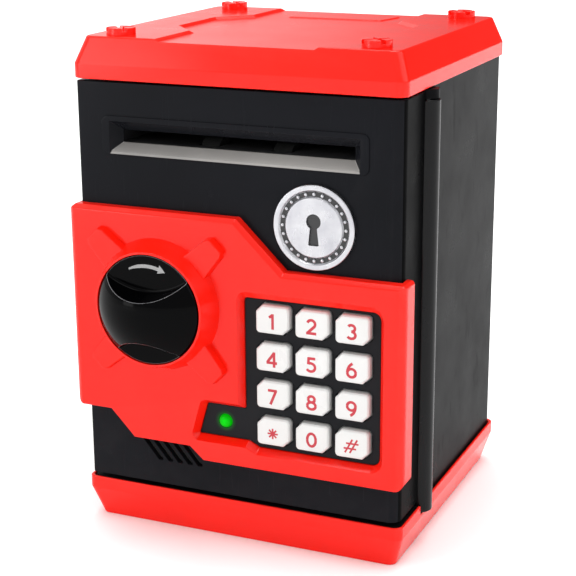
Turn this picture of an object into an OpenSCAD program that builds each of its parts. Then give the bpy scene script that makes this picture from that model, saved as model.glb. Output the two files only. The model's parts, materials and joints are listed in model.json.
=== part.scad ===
// Toy safe coin bank: cabinet, hinged door, dial latch, keypad and note feed.
// Millimetres. Origin at the middle of the bottom face, +Z up, -Y to the front, +X to the hinge side.

/* [Cabinet] */
// Width of the black cabinet and of the door
cab_w = 124; // [123.6:0.1:124.4]
// Depth from the door's front face to the cabinet's back face
cab_d = 114; // [113.6:0.1:114.4]
// Wall thickness of the black shells
wall = 2.2; // [2:0.1:2.4]
// Radius of the cabinet's upright corners
cab_corner_r = 3; // [2:0.5:4]

/* [Base and lid] */
// Width of the red base
base_w = 127; // [126.8:0.1:127.4]
// Depth of the red base and lid
base_d = 116.6; // [116.6:0.1:117]
// Height of the base's rim
base_h = 16.3; // [16:0.1:16.5]
// Height at which the base's sides start to lean in
base_bend = 11.6; // [11:0.1:12]
// How far the base and lid lean in
lean = 3.5; // [3:0.1:4]
// Thickness of the base's rim
rim_t = 1; // [0.9:0.05:1]
// Thickness of the base's floor
base_floor = 2; // [1.8:0.1:2.4]
// Width of the red lid
lid_w = 126; // [125.6:0.1:126.4]
// Height of the lid's lower edge above the ground
lid_z = 169.2; // [169.2:0.1:169.4]
// Height of the lid's pads above the ground
lid_top = 184; // [183.5:0.1:184.5]
// Height of the lid's upright side
lid_side = 5.2; // [5:0.1:5.6]
// Thickness of the lid's shell
lid_t = 1.8; // [1.6:0.1:2]
// Depth of the sunk cross on the lid
cross_sink = 0.9; // [0.6:0.1:1.1]
// Height of the four bosses on the lid
boss_h = 4; // [3.5:0.1:4.5]
// Radius of the four bosses on the lid
boss_r = 5.7; // [5.4:0.1:6]

/* [Door] */
// Depth of the door
door_d = 30; // [29.8:0.1:30.2]
// Height of the door's lower edge
door_z0 = 17.4; // [17.2:0.1:17.6]
// Height of the door's upper edge
door_z1 = 168.4; // [168.2:0.1:168.4]
// Radius of the door's front corner on the hinge side
door_corner_r = 4; // [3:0.5:4]
// Radius of the hinge barrel
barrel_r = 4.7; // [4.6:0.1:4.7]
// Radius of the hinge pins
pin_r = 1.2; // [1.1:0.05:1.25]

/* [Fascia and dial] */
// Thickness of the red fascia
fascia_t = 5; // [4.8:0.1:5.2]
// Dial axis, across
dial_x = -28.8; // [-29:0.1:-28.6]
// Dial axis, height
dial_z = 89.9; // [89.7:0.1:90.1]
// Radius of the dial
dial_r = 20; // [19.8:0.1:20]
// Height of the collar around the dial
collar_h = 8; // [7.6:0.1:8.2]
// Height of the dome above the collar
dome_h = 9; // [8.5:0.1:9.5]
// Radius of the dial shaft
shaft_r = 3; // [2.8:0.1:3.1]

/* [Keypad] */
// Distance between key columns
key_dx = 15; // [14.9:0.05:15.05]
// Distance between key rows
key_dz = 14; // [13.95:0.05:14.05]
// Width of a key
key_w = 13; // [12.6:0.1:13.1]
// Height of a key
key_h = 10.7; // [10.5:0.1:10.9]
// Travel of a key
key_travel = 1.5; // [1.3:0.1:1.5]

/* [Note slot and feed] */
// Height of the note path's centre
path_z = 148.7; // [148.6:0.05:148.8]
// Clear height of the note path
path_h = 4.6; // [4.5:0.1:4.8]
// Radius of the feed rollers
roller_r = 6.45; // [6.4:0.01:6.46]
// Module of the feed gears
feed_m = 0.6; // [0.6]
// Teeth on the motor pinion
pinion_n = 10; // [10]
// Teeth on the drive gear
gear_n = 30; // [30]

/* [Latch] */
// Module of the latch rack and pinion
latch_m = 1; // [1]
// Teeth on the latch pinion
latch_n = 10; // [10]
// Radius of the lock disc
disc_r = 9; // [8.8:0.1:9.2]

/* [Battery bay] */
// Radius of a battery cell
cell_r = 7.2; // [7:0.05:7.25]
// Length of a battery cell
cell_l = 50; // [49:0.5:50.5]

/* [Hidden] */
KEYS = ["1", "2", "3", "4", "5", "6", "7", "8", "9", "star", "0", "hash"];

$fn = 64;
red = [0.93, 0.16, 0.12];
black = [0.13, 0.13, 0.15];
dark = [0.25, 0.25, 0.27];
white = [0.95, 0.95, 0.95];
steel = [0.72, 0.73, 0.75];
brass = [0.80, 0.65, 0.30];
board_green = [0.08, 0.38, 0.20];
rubber = [0.09, 0.09, 0.09];
eps = 1;               // how far a cutter runs past the face it opens
gap = 0.3;             // room between two pieces that don't bear on each other
running = 0.05;        // radial room of a turning fit

// Cabinet planes
half_w = cab_w / 2;
front_y = -cab_d / 2;
back_y = cab_d / 2;
door_back_y = front_y + door_d;
cash_front_y = door_back_y + 0.8;
inner_x = half_w - wall;
cab_floor_z = base_h - 0.3;         // top of the cash floor
cab_bottom_z = cab_floor_z - wall;  // underside of the cash floor
top_plate_z = lid_z - 0.4;          // underside of the cabinet's top plate
top_plate_t = 2.4;
post_r = 4.5;                       // screw posts of the base, lid and cabinet
post_x = 48;
post_y = 43;
post_z = 7;                         // where the base's posts end and the cabinet's begin
screw_seat = 4.5;                   // depth of the base's counterbores
lid_post_y = -14;                   // front screw posts of the lid, behind the door
screw_r = 1.5;
screw_head_r = 2.8;
screw_head_t = 2;
boss_x = 48.5;
boss_y = 47;
cross_in = [31, 28];                // inner corners of the lid's sunk cross
cross_side = [42, 15];              // corners of its side arms

// Hinge
hinge_x = half_w - 0.8;
hinge_y = door_back_y - 4.2;
barrel_z0 = 13.2;
barrel_z1 = 165.2;
lug_z = barrel_z1 + 0.4;
lug_r = barrel_r - 0.5;
pin_in = 3.8;                       // how far a pin reaches into the barrel
lug_pin = 3;                        // and into the lug
seat_z = barrel_z0 - 0.4;           // top of the lower pin's seat in the base
pin_low_z = seat_z - 3.2;

// Door interior
door_in_y = front_y + wall;         // inner face of the door's front wall
cover_y = door_back_y - wall;       // front face of the back cover
cover_x1 = hinge_x - barrel_r - 0.3;
cover_post_r = 3;
cover_posts = [[-56, 23.2], [53, 23.2], [-56, 111], [53, 106], [-56, 162.5], [53, 162.5]];
small_screw_r = 1.1;
small_head_r = 2.4;
small_head_t = 1.5;
cover_screw_l = 12;

// Fascia outline, in X and Z
fascia_y = front_y - fascia_t;
fascia_half = 65;                   // half of its width, wrapped round the door's edges
fascia_top = 124;
fascia_step = 106.5;
fascia_low = 32;
skirt_y = front_y + 5;
fascia_outline = [[2.5 - fascia_half, fascia_top], [2, fascia_top], [20, fascia_step],
    [fascia_half - 1.6, fascia_step], [fascia_half, fascia_step - 1.6],
    [fascia_half, fascia_low + 3], [fascia_half - 3, fascia_low], [-12, fascia_low],
    [-17.5, 36.8], [-40.5, 36.8], [-50, 46.8], [2.5 - fascia_half, 46.8], [-fascia_half, 49.3],
    [-fascia_half, fascia_top - 2.5]];
collar_y = fascia_y - collar_h;
collar_in = dial_r + 0.4;
collar_top = dial_r + 1.2;
collar_foot = dial_r + 4.5;
rib_t = 3;
dial_seat_y = fascia_y + 2;         // floor of the pocket that the dial turns in
dome_big = (dial_r * dial_r + dome_h * dome_h) / (2 * dome_h);  // radius of the dome's sphere
dome_a = asin(dial_r / dome_big);   // half of the dome's opening angle
scoop_r = 22;                       // radius of the dial's two finger scoops
scoop_y = collar_y - 21.5;          // centre line of the scoops
scoop_z = 24;                       // and its distance from the dial's axis

// Keypad
key_x0 = 15.8;
key_z0 = 89;
bezel_y = front_y - 2;
key_y = front_y - 4.5;
flange_y = front_y + 0.1;
flange_t = 0.8;
key_back_y = flange_y + flange_t;
window_outline = [[4.2, 95.7], [53, 95.7], [55.7, 93], [55.7, 42.5], [52.7, 39.5], [9.5, 39.5],
    [5.5, 41.5], [-14.6, 41.5], [-11, 54], [4.2, 54]];
bezel_side = 0.15;                  // room between the bezel and the fascia's window
dome_y = key_back_y + key_travel + 0.2;
membrane_y = dome_y + 1.4;
board_y = membrane_y + 1;
board_t = 1.6;
pad_hole = [[7, 54.6], [40.4, 95.2]];  // opening for the keys in the door's front wall
led_x = -4;
led_z = 47.7;
led_r = 2.5;

// Badge
badge_x = 30.5;
badge_z = 123;
badge_r = 15;
badge_y = front_y - 1.8;
badge_floor_y = front_y - 1.2;
badge_peg_x = 8;
badge_peg_r = 1.5;

// Speaker and control board
speaker_x = -27;
speaker_z = 31.5;
sound_slot = [[0, -4.5], [1.8, -4.5], [-3.6, 3.5], [-5.4, 3.5]];
sound_pitch = 4.1;
pcb_y = -48;
pcb_back_y = pcb_y + 1.6;

// Note slot
slot_x0 = -45.5;
slot_x1 = 43.5;
path_z0 = path_z - path_h / 2;
path_z1 = path_z + path_h / 2;
frame_front_y = front_y - 0.5;
frame_back_y = front_y + 4.5;
funnel_x = 3.4;                     // how far the funnel widens at each end
funnel_low = 142.8;
funnel_high = 154.6;
frame_x0 = -52;                     // outline of the frame around the slot
frame_x1 = 50;
frame_z0 = 142.3;
frame_z1 = 156.5;
tunnel_z0 = 143.6;                  // the part of it that passes the door's wall
tunnel_z1 = 155.4;

// Feed unit
feed_y = -42;
nip = 0.3;
drive_z = path_z - nip / 2 - roller_r;
pinch_z = path_z + nip / 2 + roller_r;
axle_r = 1.5;
bush_r = 3;
side_x = 46;                        // inner faces of the chassis side plates
side_t = 2;
guide_t = 1.8;
chassis_y0 = frame_back_y + 0.1;
chassis_y1 = cover_y - 0.2;
roller_x = 14;
roller_w = 7;
motor_r = 10;
motor_l = 24;
motor_z = drive_z - feed_m * (pinion_n + gear_n) / 2;

// Latch
latch_rp = latch_m * latch_n / 2;
throw = latch_rp * PI / 2;
bolt_y0 = -24;
bolt_y1 = -20.6;
bolt_tip_x = -50.5;
bolt_z0 = dial_z + latch_rp + 0.6;  // tips of the rack's teeth sit 0.6 inside the pitch line
bolt_z1 = bolt_z0 + 6;
rack_half = PI * latch_m / 4 - 0.05;          // half of a rack tooth at the pitch line
rack_tip = rack_half - 0.6 * tan(20);
rack_foot = rack_half + 1.3 * tan(20);
housing = [[-49, -13], [door_back_y, -18.6], [80.5, 103.2]];
housing_t = 1.4;
housing_screw_x = [housing[0][0] + 4, housing[0][1] - 4];
housing_screw_z = housing[2][0] + 4;
disc_y0 = -34;
disc_y1 = -32;
disc_mid_y = (disc_y0 + disc_y1) / 2;
notch_w = 4;
notch_in = 5;                       // radius of a notch's floor
plunger_r = 1.6;
plunger_top = dial_z - disc_r - 0.6;
plunger_travel = 3;
coil_z0 = 58;
coil_z1 = 73.8;
coil_half = 7;
plunger_collar_z = coil_z1 + 2.7;
spring_r = 2.25;                    // middle radius of the plunger's spring
spring_wire = 0.3;                  // radius of its wire

// Battery bay
bay_x0 = -1.8;
bay_x1 = bay_x0 + cell_l + 4.2;
bay_z0 = 29.4;
bay_pitch = 15.2;
bay_z1 = bay_z0 + 3 * bay_pitch;
bay_y = -45;                        // floor of the bay
bay_t = 1.4;
cell_y = bay_y + cell_r + 0.2;

// A point list for an arc, counter-clockwise from a0 to a1
function arc(c, r, a0, a1, n) =
    [for (i = [0:n]) let (a = a0 + (a1 - a0) * i / n) [c[0] + r * cos(a), c[1] + r * sin(a)]];

// Involute function of a pressure angle, in degrees
function inv(a) = tan(a) * 180 / PI - a;

// Half of a tooth's angle at radius r, for n teeth of pitch radius rp and pressure angle 20
function half_tooth(n, rp, r, slack) =
    90 / n - slack / rp * 90 / PI + inv(20) - inv(acos(min(1, rp * cos(20) / r)));

// Outline of a spur gear; slack is the backlash along the pitch circle
function gear_outline(n, m, tip, slack) = let (
    rp = n * m / 2,
    root = rp - 1.2 * m,
    radii = concat([root], [for (i = [0:4]) max(rp * cos(20), root) + (rp + tip * m
        - max(rp * cos(20), root)) * i / 4]))
    [for (t = [0:n - 1], s = [-1, 1], i = [0:5])
        let (r = radii[s < 0 ? i : 5 - i], a = 90 + t * 360 / n + s * half_tooth(n, rp, r, slack))
        [r * cos(a), r * sin(a)]];

// Solids run along X or Y from a flat outline
module along_y(y0, y1) {
    translate([0, y1, 0]) rotate([90, 0, 0]) linear_extrude(height = y1 - y0) children();
}
module along_x(x0, x1) {
    translate([x0, 0, 0]) rotate([90, 0, 90]) linear_extrude(height = x1 - x0) children();
}
module rod_x(y, z, r, x0, x1) {
    translate([x0, y, z]) rotate([0, 90, 0]) cylinder(r = r, h = x1 - x0);
}
module rod_y(x, z, r, y0, y1) {
    translate([x, y1, z]) rotate([90, 0, 0]) cylinder(r = r, h = y1 - y0);
}
module rod_z(x, y, r, z0, z1) {
    translate([x, y, z0]) cylinder(r = r, h = z1 - z0);
}
module block(x0, x1, y0, y1, z0, z1) {
    translate([x0, y0, z0]) cube([x1 - x0, y1 - y0, z1 - z0]);
}

// Rectangle with round corners
module round_rect(x0, x1, y0, y1, r) {
    translate([x0 + r, y0]) square([x1 - x0 - 2 * r, y1 - y0]);
    translate([x0, y0 + r]) square([x1 - x0, y1 - y0 - 2 * r]);
    for (x = [x0 + r, x1 - r], y = [y0 + r, y1 - r]) translate([x, y]) circle(r = r);
}

// Slab whose four sides stand upright from z_flat to z_bend and lean in from there to z_tip
module leaning_slab(w, d, z_flat, z_bend, z_tip, inset, r) {
    function side(h) = [[-h, z_flat], [h, z_flat], [h, z_bend], [h - inset, z_tip],
        [inset - h, z_tip], [-h, z_bend]];
    intersection() {
        along_y(-d / 2, d / 2) polygon(side(w / 2));
        along_x(-w / 2, w / 2) polygon(side(d / 2));
        translate([0, 0, min(z_flat, z_tip)]) linear_extrude(height = abs(z_tip - z_flat))
            round_rect(-w / 2, w / 2, -d / 2, d / 2, r);
    }
}

// Four copies, one at each screw post, whose front pair stands at y0
module at_posts(y0) {
    for (s = [-1, 1], y = [y0, post_y]) translate([s * post_x, y, 0]) children();
}

module base_tray() color(red) difference() {
    union() {
        difference() {
            leaning_slab(base_w, base_d, base_h, base_bend, 0, lean, 4);
            leaning_slab(base_w - 2 * rim_t, base_d - 2 * rim_t, base_h + eps, base_bend,
                base_floor, lean * (1 - base_floor / base_bend), 3);
        }
        at_posts(-post_y) cylinder(r = post_r, h = post_z);
        intersection() {
            leaning_slab(base_w, base_d, base_h, base_bend, 0, lean, 4);
            block(hinge_x - 6, half_w + 2, hinge_y - 5, hinge_y + 5, 0.5, seat_z);
        }
    }
    at_posts(-post_y) translate([0, 0, -eps]) cylinder(r = screw_head_r + 0.2, h = screw_seat
        + eps);
    at_posts(-post_y) cylinder(r = screw_r + 0.1, h = post_z + eps);
    block(hinge_x - 6, half_w + 3, hinge_y - 5.2, hinge_y + 5.2, seat_z, base_h + eps);
    rod_z(hinge_x, hinge_y, pin_r, pin_low_z, base_h);
}

module cash_box() color(black) difference() {
    union() {
        difference() {
            translate([0, 0, cab_bottom_z]) linear_extrude(height = lid_z - cab_bottom_z)
                round_rect(-half_w, half_w, cash_front_y - 10, back_y, cab_corner_r);
            block(-half_w - eps, half_w + eps, cash_front_y - 12, cash_front_y,
                cab_bottom_z - eps, lid_z + eps);
        }
        translate([0, 0, cab_bottom_z]) linear_extrude(height = wall)
            round_rect(-half_w, half_w, front_y + 0.5, back_y, cab_corner_r);
        translate([0, 0, top_plate_z]) linear_extrude(height = top_plate_t)
            round_rect(-half_w + 1.4, half_w - 1.4, front_y + 1.4, back_y - 1.4, cab_corner_r);
        at_posts(-post_y) translate([0, 0, post_z])
            cylinder(r = post_r, h = cab_bottom_z + 0.5 - post_z);
        rod_z(hinge_x, hinge_y, lug_r, lug_z, top_plate_z);
        block(half_w - 4, half_w, hinge_y, cash_front_y + 2, lug_z, top_plate_z + 0.2);
        block(half_w - 4, half_w - 1.4, hinge_y - 3, cash_front_y + 2, lug_z, top_plate_z + 0.2);
    }
    block(-inner_x, inner_x, cash_front_y - 12, back_y - wall, cab_floor_z, lug_z - 0.4);
    block(-inner_x, half_w - 5, cash_front_y - 12, back_y - wall, cab_floor_z, top_plate_z);
    block(-inner_x, inner_x, cash_front_y + 2, back_y - wall, cab_floor_z, top_plate_z);
    rod_z(hinge_x, hinge_y, barrel_r + 0.4, cab_bottom_z - eps, cab_floor_z + eps);
    rod_z(hinge_x, hinge_y, pin_r, lug_z - eps, lug_z + lug_pin);
    at_posts(-post_y) translate([0, 0, post_z - eps]) cylinder(r = screw_r, h = 6 + eps);
    at_posts(lid_post_y) translate([0, 0, top_plate_z - eps])
        cylinder(r = screw_r + 0.1, h = 5);
}

// One of the four bosses on the lid: a bolt head with a cross slot
module lid_boss() difference() {
    cylinder(r = boss_r, h = boss_h);
    for (a = [45, 135]) rotate(a) translate([-boss_r - eps, -1, boss_h - 1.2])
        cube([2 * boss_r + 2 * eps, 2, 1.2 + eps]);
}

module top_lid() color(red) difference() {
    union() {
        difference() {
            leaning_slab(lid_w, base_d, lid_z, lid_z + lid_side, lid_top, lean, 4);
            leaning_slab(lid_w - 2 * lid_t, base_d - 2 * lid_t, lid_z - eps, lid_z + lid_side,
                lid_top - lid_t - cross_sink, lean * 0.8, 3);
        }
        at_posts(lid_post_y) translate([0, 0, top_plate_z + top_plate_t])
            cylinder(r = post_r, h = lid_top - 2 - top_plate_z - top_plate_t);
        for (sx = [-1, 1], sy = [-1, 1]) translate([sx * boss_x, sy * boss_y, lid_top
            - 0.5])
            lid_boss();
    }
    translate([0, 0, lid_top - cross_sink]) linear_extrude(height = cross_sink + eps)
        polygon([for (s = [1, -1], p = [[cross_in[0], -base_d / 2], [cross_in[0], -cross_in[1]],
            [cross_side[0], -cross_side[1]], cross_side, cross_in, [cross_in[0], base_d / 2]])
            s * p]);
    at_posts(lid_post_y) translate([0, 0, lid_z]) cylinder(r = screw_r, h = 11);
}

module hinge_pins() color(steel) {
    rod_z(hinge_x, hinge_y, pin_r, pin_low_z, barrel_z0 + pin_in);
    rod_z(hinge_x, hinge_y, pin_r, barrel_z1 - pin_in, lug_z + lug_pin);
}

module strike_plate() color(steel) {
    block(-inner_x, 1 - inner_x, bolt_y0 - 1.6, bolt_y0 + 12, bolt_z0 - 2, bolt_z1 + 2);
    block(-inner_x, 6.8 - inner_x, bolt_y0 - 1.6, bolt_y0 - 0.5, bolt_z0 - 2, bolt_z1 + 2);
}

// Pan-head screw pointing up from its head's underside at z = 0
module pan_screw(r, l, head_r, head_t) {
    translate([0, 0, -head_t]) cylinder(r = head_r, h = head_t);
    translate([0, 0, -0.1]) cylinder(r = r, h = l + 0.1);
}

module lid_screws() color(steel) at_posts(lid_post_y) translate([0, 0, top_plate_z])
    pan_screw(screw_r, 10, screw_head_r, screw_head_t);

module base_screws() color(steel) at_posts(-post_y) translate([0, 0, screw_seat])
    pan_screw(screw_r, 7.5, screw_head_r, screw_head_t);

module key_outline(grow) {
    w = key_w / 2 + grow;
    h = key_h / 2 + grow;
    polygon(concat([[-w, -h + 1.2]], arc([-w + 1.2, -h + 1.2], 1.2, 180, 270, 4),
        [[w - 2.5, -h], [w, -h + 2.5]], arc([w - 1.2, h - 1.2], 1.2, 0, 90, 4),
        [[-w + 2.5, h], [-w, h - 2.5]]));
}

function key_place(i) = [key_x0 + key_dx * (i % 3), 0, key_z0 - key_dz * floor(i / 3)];

module key(i) color(white) translate(key_place(i)) {
    along_y(key_y, flange_y + 0.1) key_outline(0);
    along_y(flange_y, key_back_y) square([key_w + 1.2, key_h + 1.2], center = true);
}

module door_shell() color(black) difference() {
    union() {
        difference() {
            translate([0, 0, door_z0]) linear_extrude(height = door_z1 - door_z0) union() {
                translate([-half_w, front_y]) square([cab_w - door_corner_r, door_d]);
                translate([-half_w, front_y + door_corner_r])
                    square([cab_w, door_d - door_corner_r]);
                translate([half_w - door_corner_r, front_y + door_corner_r])
                    circle(r = door_corner_r);
            }
            block(-inner_x, inner_x, door_in_y, door_back_y + eps, door_z0 + wall,
                door_z1 - wall);
            block(half_w - 8, half_w + eps, hinge_y - 5, door_back_y + eps, barrel_z1,
                door_z1 + eps);
        }
        rod_z(hinge_x, hinge_y, barrel_r, barrel_z0, barrel_z1);
        for (p = cover_posts) rod_y(p[0], p[1], cover_post_r, door_in_y - 0.5, cover_y);
    }
    rod_z(hinge_x, hinge_y, pin_r + running, barrel_z0 - eps, barrel_z0 + pin_in + 0.5);
    rod_z(hinge_x, hinge_y, pin_r + running, barrel_z1 - pin_in - 0.5, barrel_z1 + eps);
    for (p = cover_posts) rod_y(p[0], p[1], small_screw_r, door_back_y - cover_screw_l
        - 2, cover_y + eps);
    rod_y(dial_x, dial_z, shaft_r + 0.4, front_y - eps, door_in_y + eps);
    block(pad_hole[0][0], pad_hole[0][1], front_y - eps, door_in_y + eps, pad_hole[1][0],
        pad_hole[1][1]);
    rod_y(led_x, led_z, led_r + 0.2, front_y - eps, door_in_y + eps);
    block(slot_x0 - funnel_x, slot_x1 + funnel_x, front_y - eps, door_in_y + eps, tunnel_z0,
        tunnel_z1);
    for (s = [-1, 1]) rod_y(badge_x + badge_peg_x * s, badge_z, badge_peg_r, front_y - eps,
        door_in_y + eps);
    for (i = [-2:2]) translate([speaker_x + 2.3 + sound_pitch * i, 0, speaker_z])
        along_y(front_y - eps, door_in_y + eps) polygon(sound_slot);
}

module door_back_cover() color(dark) difference() {
    block(-inner_x + 0.2, cover_x1, cover_y, door_back_y, door_z0 + wall + 0.2,
        door_z1 - wall - 0.2);
    for (p = cover_posts)
        rod_y(p[0], p[1], small_screw_r + 0.2, cover_y - eps, door_back_y + eps);
    block(slot_x0 - 1, slot_x1 + 1, cover_y - eps, door_back_y + eps, path_z0 - 0.6,
        path_z1 + 0.6);
    block(bay_x0, bay_x1, cover_y - eps, door_back_y + eps, bay_z0, bay_z1);
    rod_y(dial_x, dial_z, shaft_r + running, cover_y - eps, door_back_y + eps);
    for (x = housing_screw_x) rod_y(x, housing_screw_z, small_screw_r, cover_y - eps,
        door_back_y + eps);
}

module cover_screws() color(steel) for (p = cover_posts)
    translate([p[0], door_back_y, p[1]]) rotate([90, 0, 0])
        pan_screw(small_screw_r, cover_screw_l, small_head_r, small_head_t);

// One tapering rib beside the dial, along +X from the dial's axis
module dial_rib() polygon([[18, -6.4], [33.2, -4.4], [35.2, -3.4], [35.2, 3.4], [33.2, 4.4],
    [18, 6.4]]);

module fascia_panel() color(red) difference() {
    union() {
        along_y(fascia_y, front_y) polygon(fascia_outline);
        along_y(front_y - 1, skirt_y) difference() {
            polygon(fascia_outline);
            translate([-half_w - 0.2, 0]) square([cab_w + 0.4, door_z1]);
        }
        along_y(fascia_y - rib_t, fascia_y + 0.5) translate([dial_x, dial_z])
            for (a = [45:90:315]) rotate(a) dial_rib();
        translate([dial_x, fascia_y, dial_z]) rotate([90, 0, 0]) rotate_extrude($fn = 96)
            polygon([[5, -0.5], [collar_foot, -0.5], [collar_foot, 0], [collar_top, collar_h],
                [5, collar_h]]);
    }
    rod_y(dial_x, dial_z, collar_in, collar_y - eps, dial_seat_y);
    rod_y(dial_x, dial_z, shaft_r + running, fascia_y, front_y + eps);
    along_y(fascia_y - eps, front_y + eps) polygon(window_outline);
}

module keypad_bezel() color(black) difference() {
    intersection_for(sx = [-1, 1], sz = [-1, 1]) translate([sx * bezel_side, 0, sz * bezel_side])
        along_y(bezel_y, front_y) polygon(window_outline);
    for (i = [0:11]) translate(key_place(i)) along_y(bezel_y - eps, front_y + eps)
        key_outline(0.35);
    rod_y(led_x, led_z, led_r + 0.1, bezel_y - eps, front_y + eps);
}

module keypad_membrane() color(white) {
    block(pad_hole[0][0] - 1.5, pad_hole[0][1] + 1.4, membrane_y, board_y, pad_hole[1][0] - 2,
        pad_hole[1][1] + 1.6);
    for (i = [0:11]) translate(key_place(i)) rod_y(0, 0, 3.5, dome_y, membrane_y + 0.2);
}

module keypad_board() color(board_green) difference() {
    block(led_x - 8, pad_hole[0][1] + 3, board_y, board_y + board_t, pad_hole[1][0] - 4,
        pad_hole[1][1] + 3);
    for (x = [-1, 1]) rod_y(led_x + 1.27 * x, led_z, 0.4, board_y - eps, board_y + 3);
}

module status_led() color([0.1, 0.8, 0.2]) {
    rod_y(led_x, led_z, led_r, bezel_y - 0.6, door_in_y + 0.6);
    rod_y(led_x, led_z, led_r + 0.5, door_in_y + 0.1, door_in_y + 1);
    for (x = [-1, 1]) rod_y(led_x + 1.27 * x, led_z, 0.3, door_in_y + 0.5, board_y + board_t + 1);
}

module emblem_badge() color(steel) {
    difference() {
        rod_y(badge_x, badge_z, badge_r, badge_y, front_y);
        rod_y(badge_x, badge_z, badge_r - 1.8, badge_y - eps, badge_floor_y);
    }
    difference() {
        rod_y(badge_x, badge_z, badge_r - 4.5, badge_y, badge_floor_y + 0.2);
        rod_y(badge_x, badge_z + 2, 2.6, badge_y - eps, badge_floor_y);
        block(badge_x - 1.2, badge_x + 1.2, badge_y - eps, badge_floor_y, badge_z - 6,
            badge_z + 1);
    }
    for (s = [-1, 1]) rod_y(badge_x + badge_peg_x * s, badge_z, badge_peg_r, front_y - 0.2,
        door_in_y + 1);
}

module note_slot_frame() color(black) difference() {
    union() {
        along_y(frame_front_y, front_y) round_rect(frame_x0, frame_x1, frame_z0, frame_z1,
            2.5);
        block(slot_x0 - funnel_x, slot_x1 + funnel_x, front_y - 0.2, frame_back_y, tunnel_z0,
            tunnel_z1);
    }
    intersection() {
        along_x(slot_x0 - 10, slot_x1 + 10) polygon([[frame_front_y - eps, funnel_low - 0.7],
            [frame_back_y - 0.6, path_z0], [frame_back_y + eps, path_z0],
            [frame_back_y + eps, path_z1], [frame_back_y - 0.6, path_z1],
            [frame_front_y - eps, funnel_high + 0.7]]);
        translate([0, 0, 130]) linear_extrude(height = 40) polygon([
            [slot_x0 - funnel_x - 0.6, frame_front_y - eps], [slot_x0, frame_back_y - 0.6],
            [slot_x0, frame_back_y + eps], [slot_x1, frame_back_y + eps],
            [slot_x1, frame_back_y - 0.6], [slot_x1 + funnel_x + 0.6, frame_front_y - eps]]);
    }
}

module speaker() color(dark) {
    rod_y(speaker_x, speaker_z, 11, door_in_y, door_in_y + 2);
    rod_y(speaker_x, speaker_z, 8, door_in_y + 1.5, door_in_y + 5);
    rod_y(speaker_x, speaker_z, 5.5, door_in_y + 4.5, door_in_y + 8);
}

// Board with two chips, two capacitors and a plug
module control_board() color(board_green) {
    block(-50, 12, pcb_y, pcb_back_y, 108, 131);
    block(-34, -20, pcb_back_y, pcb_back_y + 2.2, 113, 125);
    block(-8, 4, pcb_back_y, pcb_back_y + 1.8, 114, 120);
    rod_y(-42, 122, 3.2, pcb_back_y, pcb_back_y + 8.4);
    rod_y(-12, 126, 2.5, pcb_back_y, pcb_back_y + 6.4);
    block(6, 11, pcb_back_y, pcb_back_y + 6.4, 110, 122);
}

// Two side plates, the two note guides between them and their roller windows
module feed_chassis() color(dark) difference() {
    union() {
        for (s = [-1, 1]) block(s * side_x + min(0, s * side_t), s * side_x + max(0, s * side_t),
            chassis_y0, chassis_y1, s > 0 ? motor_z - motor_r - 2 : drive_z - 8, pinch_z + 6);
        block(-side_x - 0.5, side_x + 0.5, chassis_y0, chassis_y1, path_z0 - guide_t, path_z0);
        block(-side_x - 0.5, side_x + 0.5, chassis_y0, chassis_y1, path_z1, path_z1 + guide_t);
    }
    for (s = [-1, 1]) block(s * roller_x - roller_w / 2 - 0.6, s * roller_x + roller_w / 2 + 0.6,
        feed_y - roller_r - 0.2, feed_y + roller_r + 0.2, path_z0 - 4, path_z1 + 4);
    for (z = [drive_z, pinch_z]) rod_x(feed_y, z, bush_r, -side_x - 5, side_x + 5);
    rod_x(feed_y, motor_z, 4, side_x - 1, side_x + 5);
}

module shaft_bushes() color(brass) difference() {
    for (s = [-1, 1], z = [drive_z, pinch_z])
        rod_x(feed_y, z, bush_r, s * side_x + min(0, s * side_t), s * side_x + max(0, s * side_t));
    for (z = [drive_z, pinch_z]) rod_x(feed_y, z, axle_r + running, -60, 60);
}

module feed_motor() color(steel) {
    difference() {
        rod_x(feed_y, motor_z, motor_r, side_x - motor_l, side_x);
        for (s = [-1, 1]) block(side_x - motor_l - eps, side_x + eps, feed_y + s * 11.5 - 4,
            feed_y + s * 11.5 + 4, motor_z - 12, motor_z + 12);
    }
    rod_x(feed_y, motor_z, 3, side_x - motor_l - 2, side_x - motor_l);
    rod_x(feed_y, motor_z, 3.2, side_x - 0.5, side_x + 2);
}

module battery_box() color(black) difference() {
    block(bay_x0 - bay_t, bay_x1 + bay_t, bay_y - bay_t, cover_y, bay_z0 - bay_t, bay_z1 + bay_t);
    block(bay_x0, bay_x1, bay_y, cover_y + eps, bay_z0, bay_z1);
}

module battery_cells() color([0.75, 0.55, 0.2]) for (i = [0:2]) {
    z = bay_z0 + bay_pitch * (i + 0.5);
    s = i % 2 == 0 ? 1 : -1;
    mid = (bay_x0 + bay_x1) / 2;
    rod_x(cell_y, z, cell_r, mid - cell_l / 2 + (s < 0 ? 1 : 0), mid + cell_l / 2 - (s > 0 ? 1 : 0));
    rod_x(cell_y, z, 2.7, mid + (s > 0 ? cell_l / 2 - 1.2 : -cell_l / 2),
        mid + (s > 0 ? cell_l / 2 : 1.2 - cell_l / 2));
}

module battery_contacts() color(steel) for (i = [0:2], e = [0, 1]) {
    z = bay_z0 + bay_pitch * (i + 0.5);
    x = e == 0 ? bay_x0 : bay_x1 - 0.5;
    spring_end = (i % 2 == 0) == (e == 0);
    block(x, x + 0.5, bay_y + 2, bay_y + 13, z - 5, z + 5);
    if (spring_end) rod_x(cell_y, z, 3, e == 0 ? x + 0.4 : bay_x1 - 2.05,
        e == 0 ? bay_x0 + 2.05 : x + 0.1);
}

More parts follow.
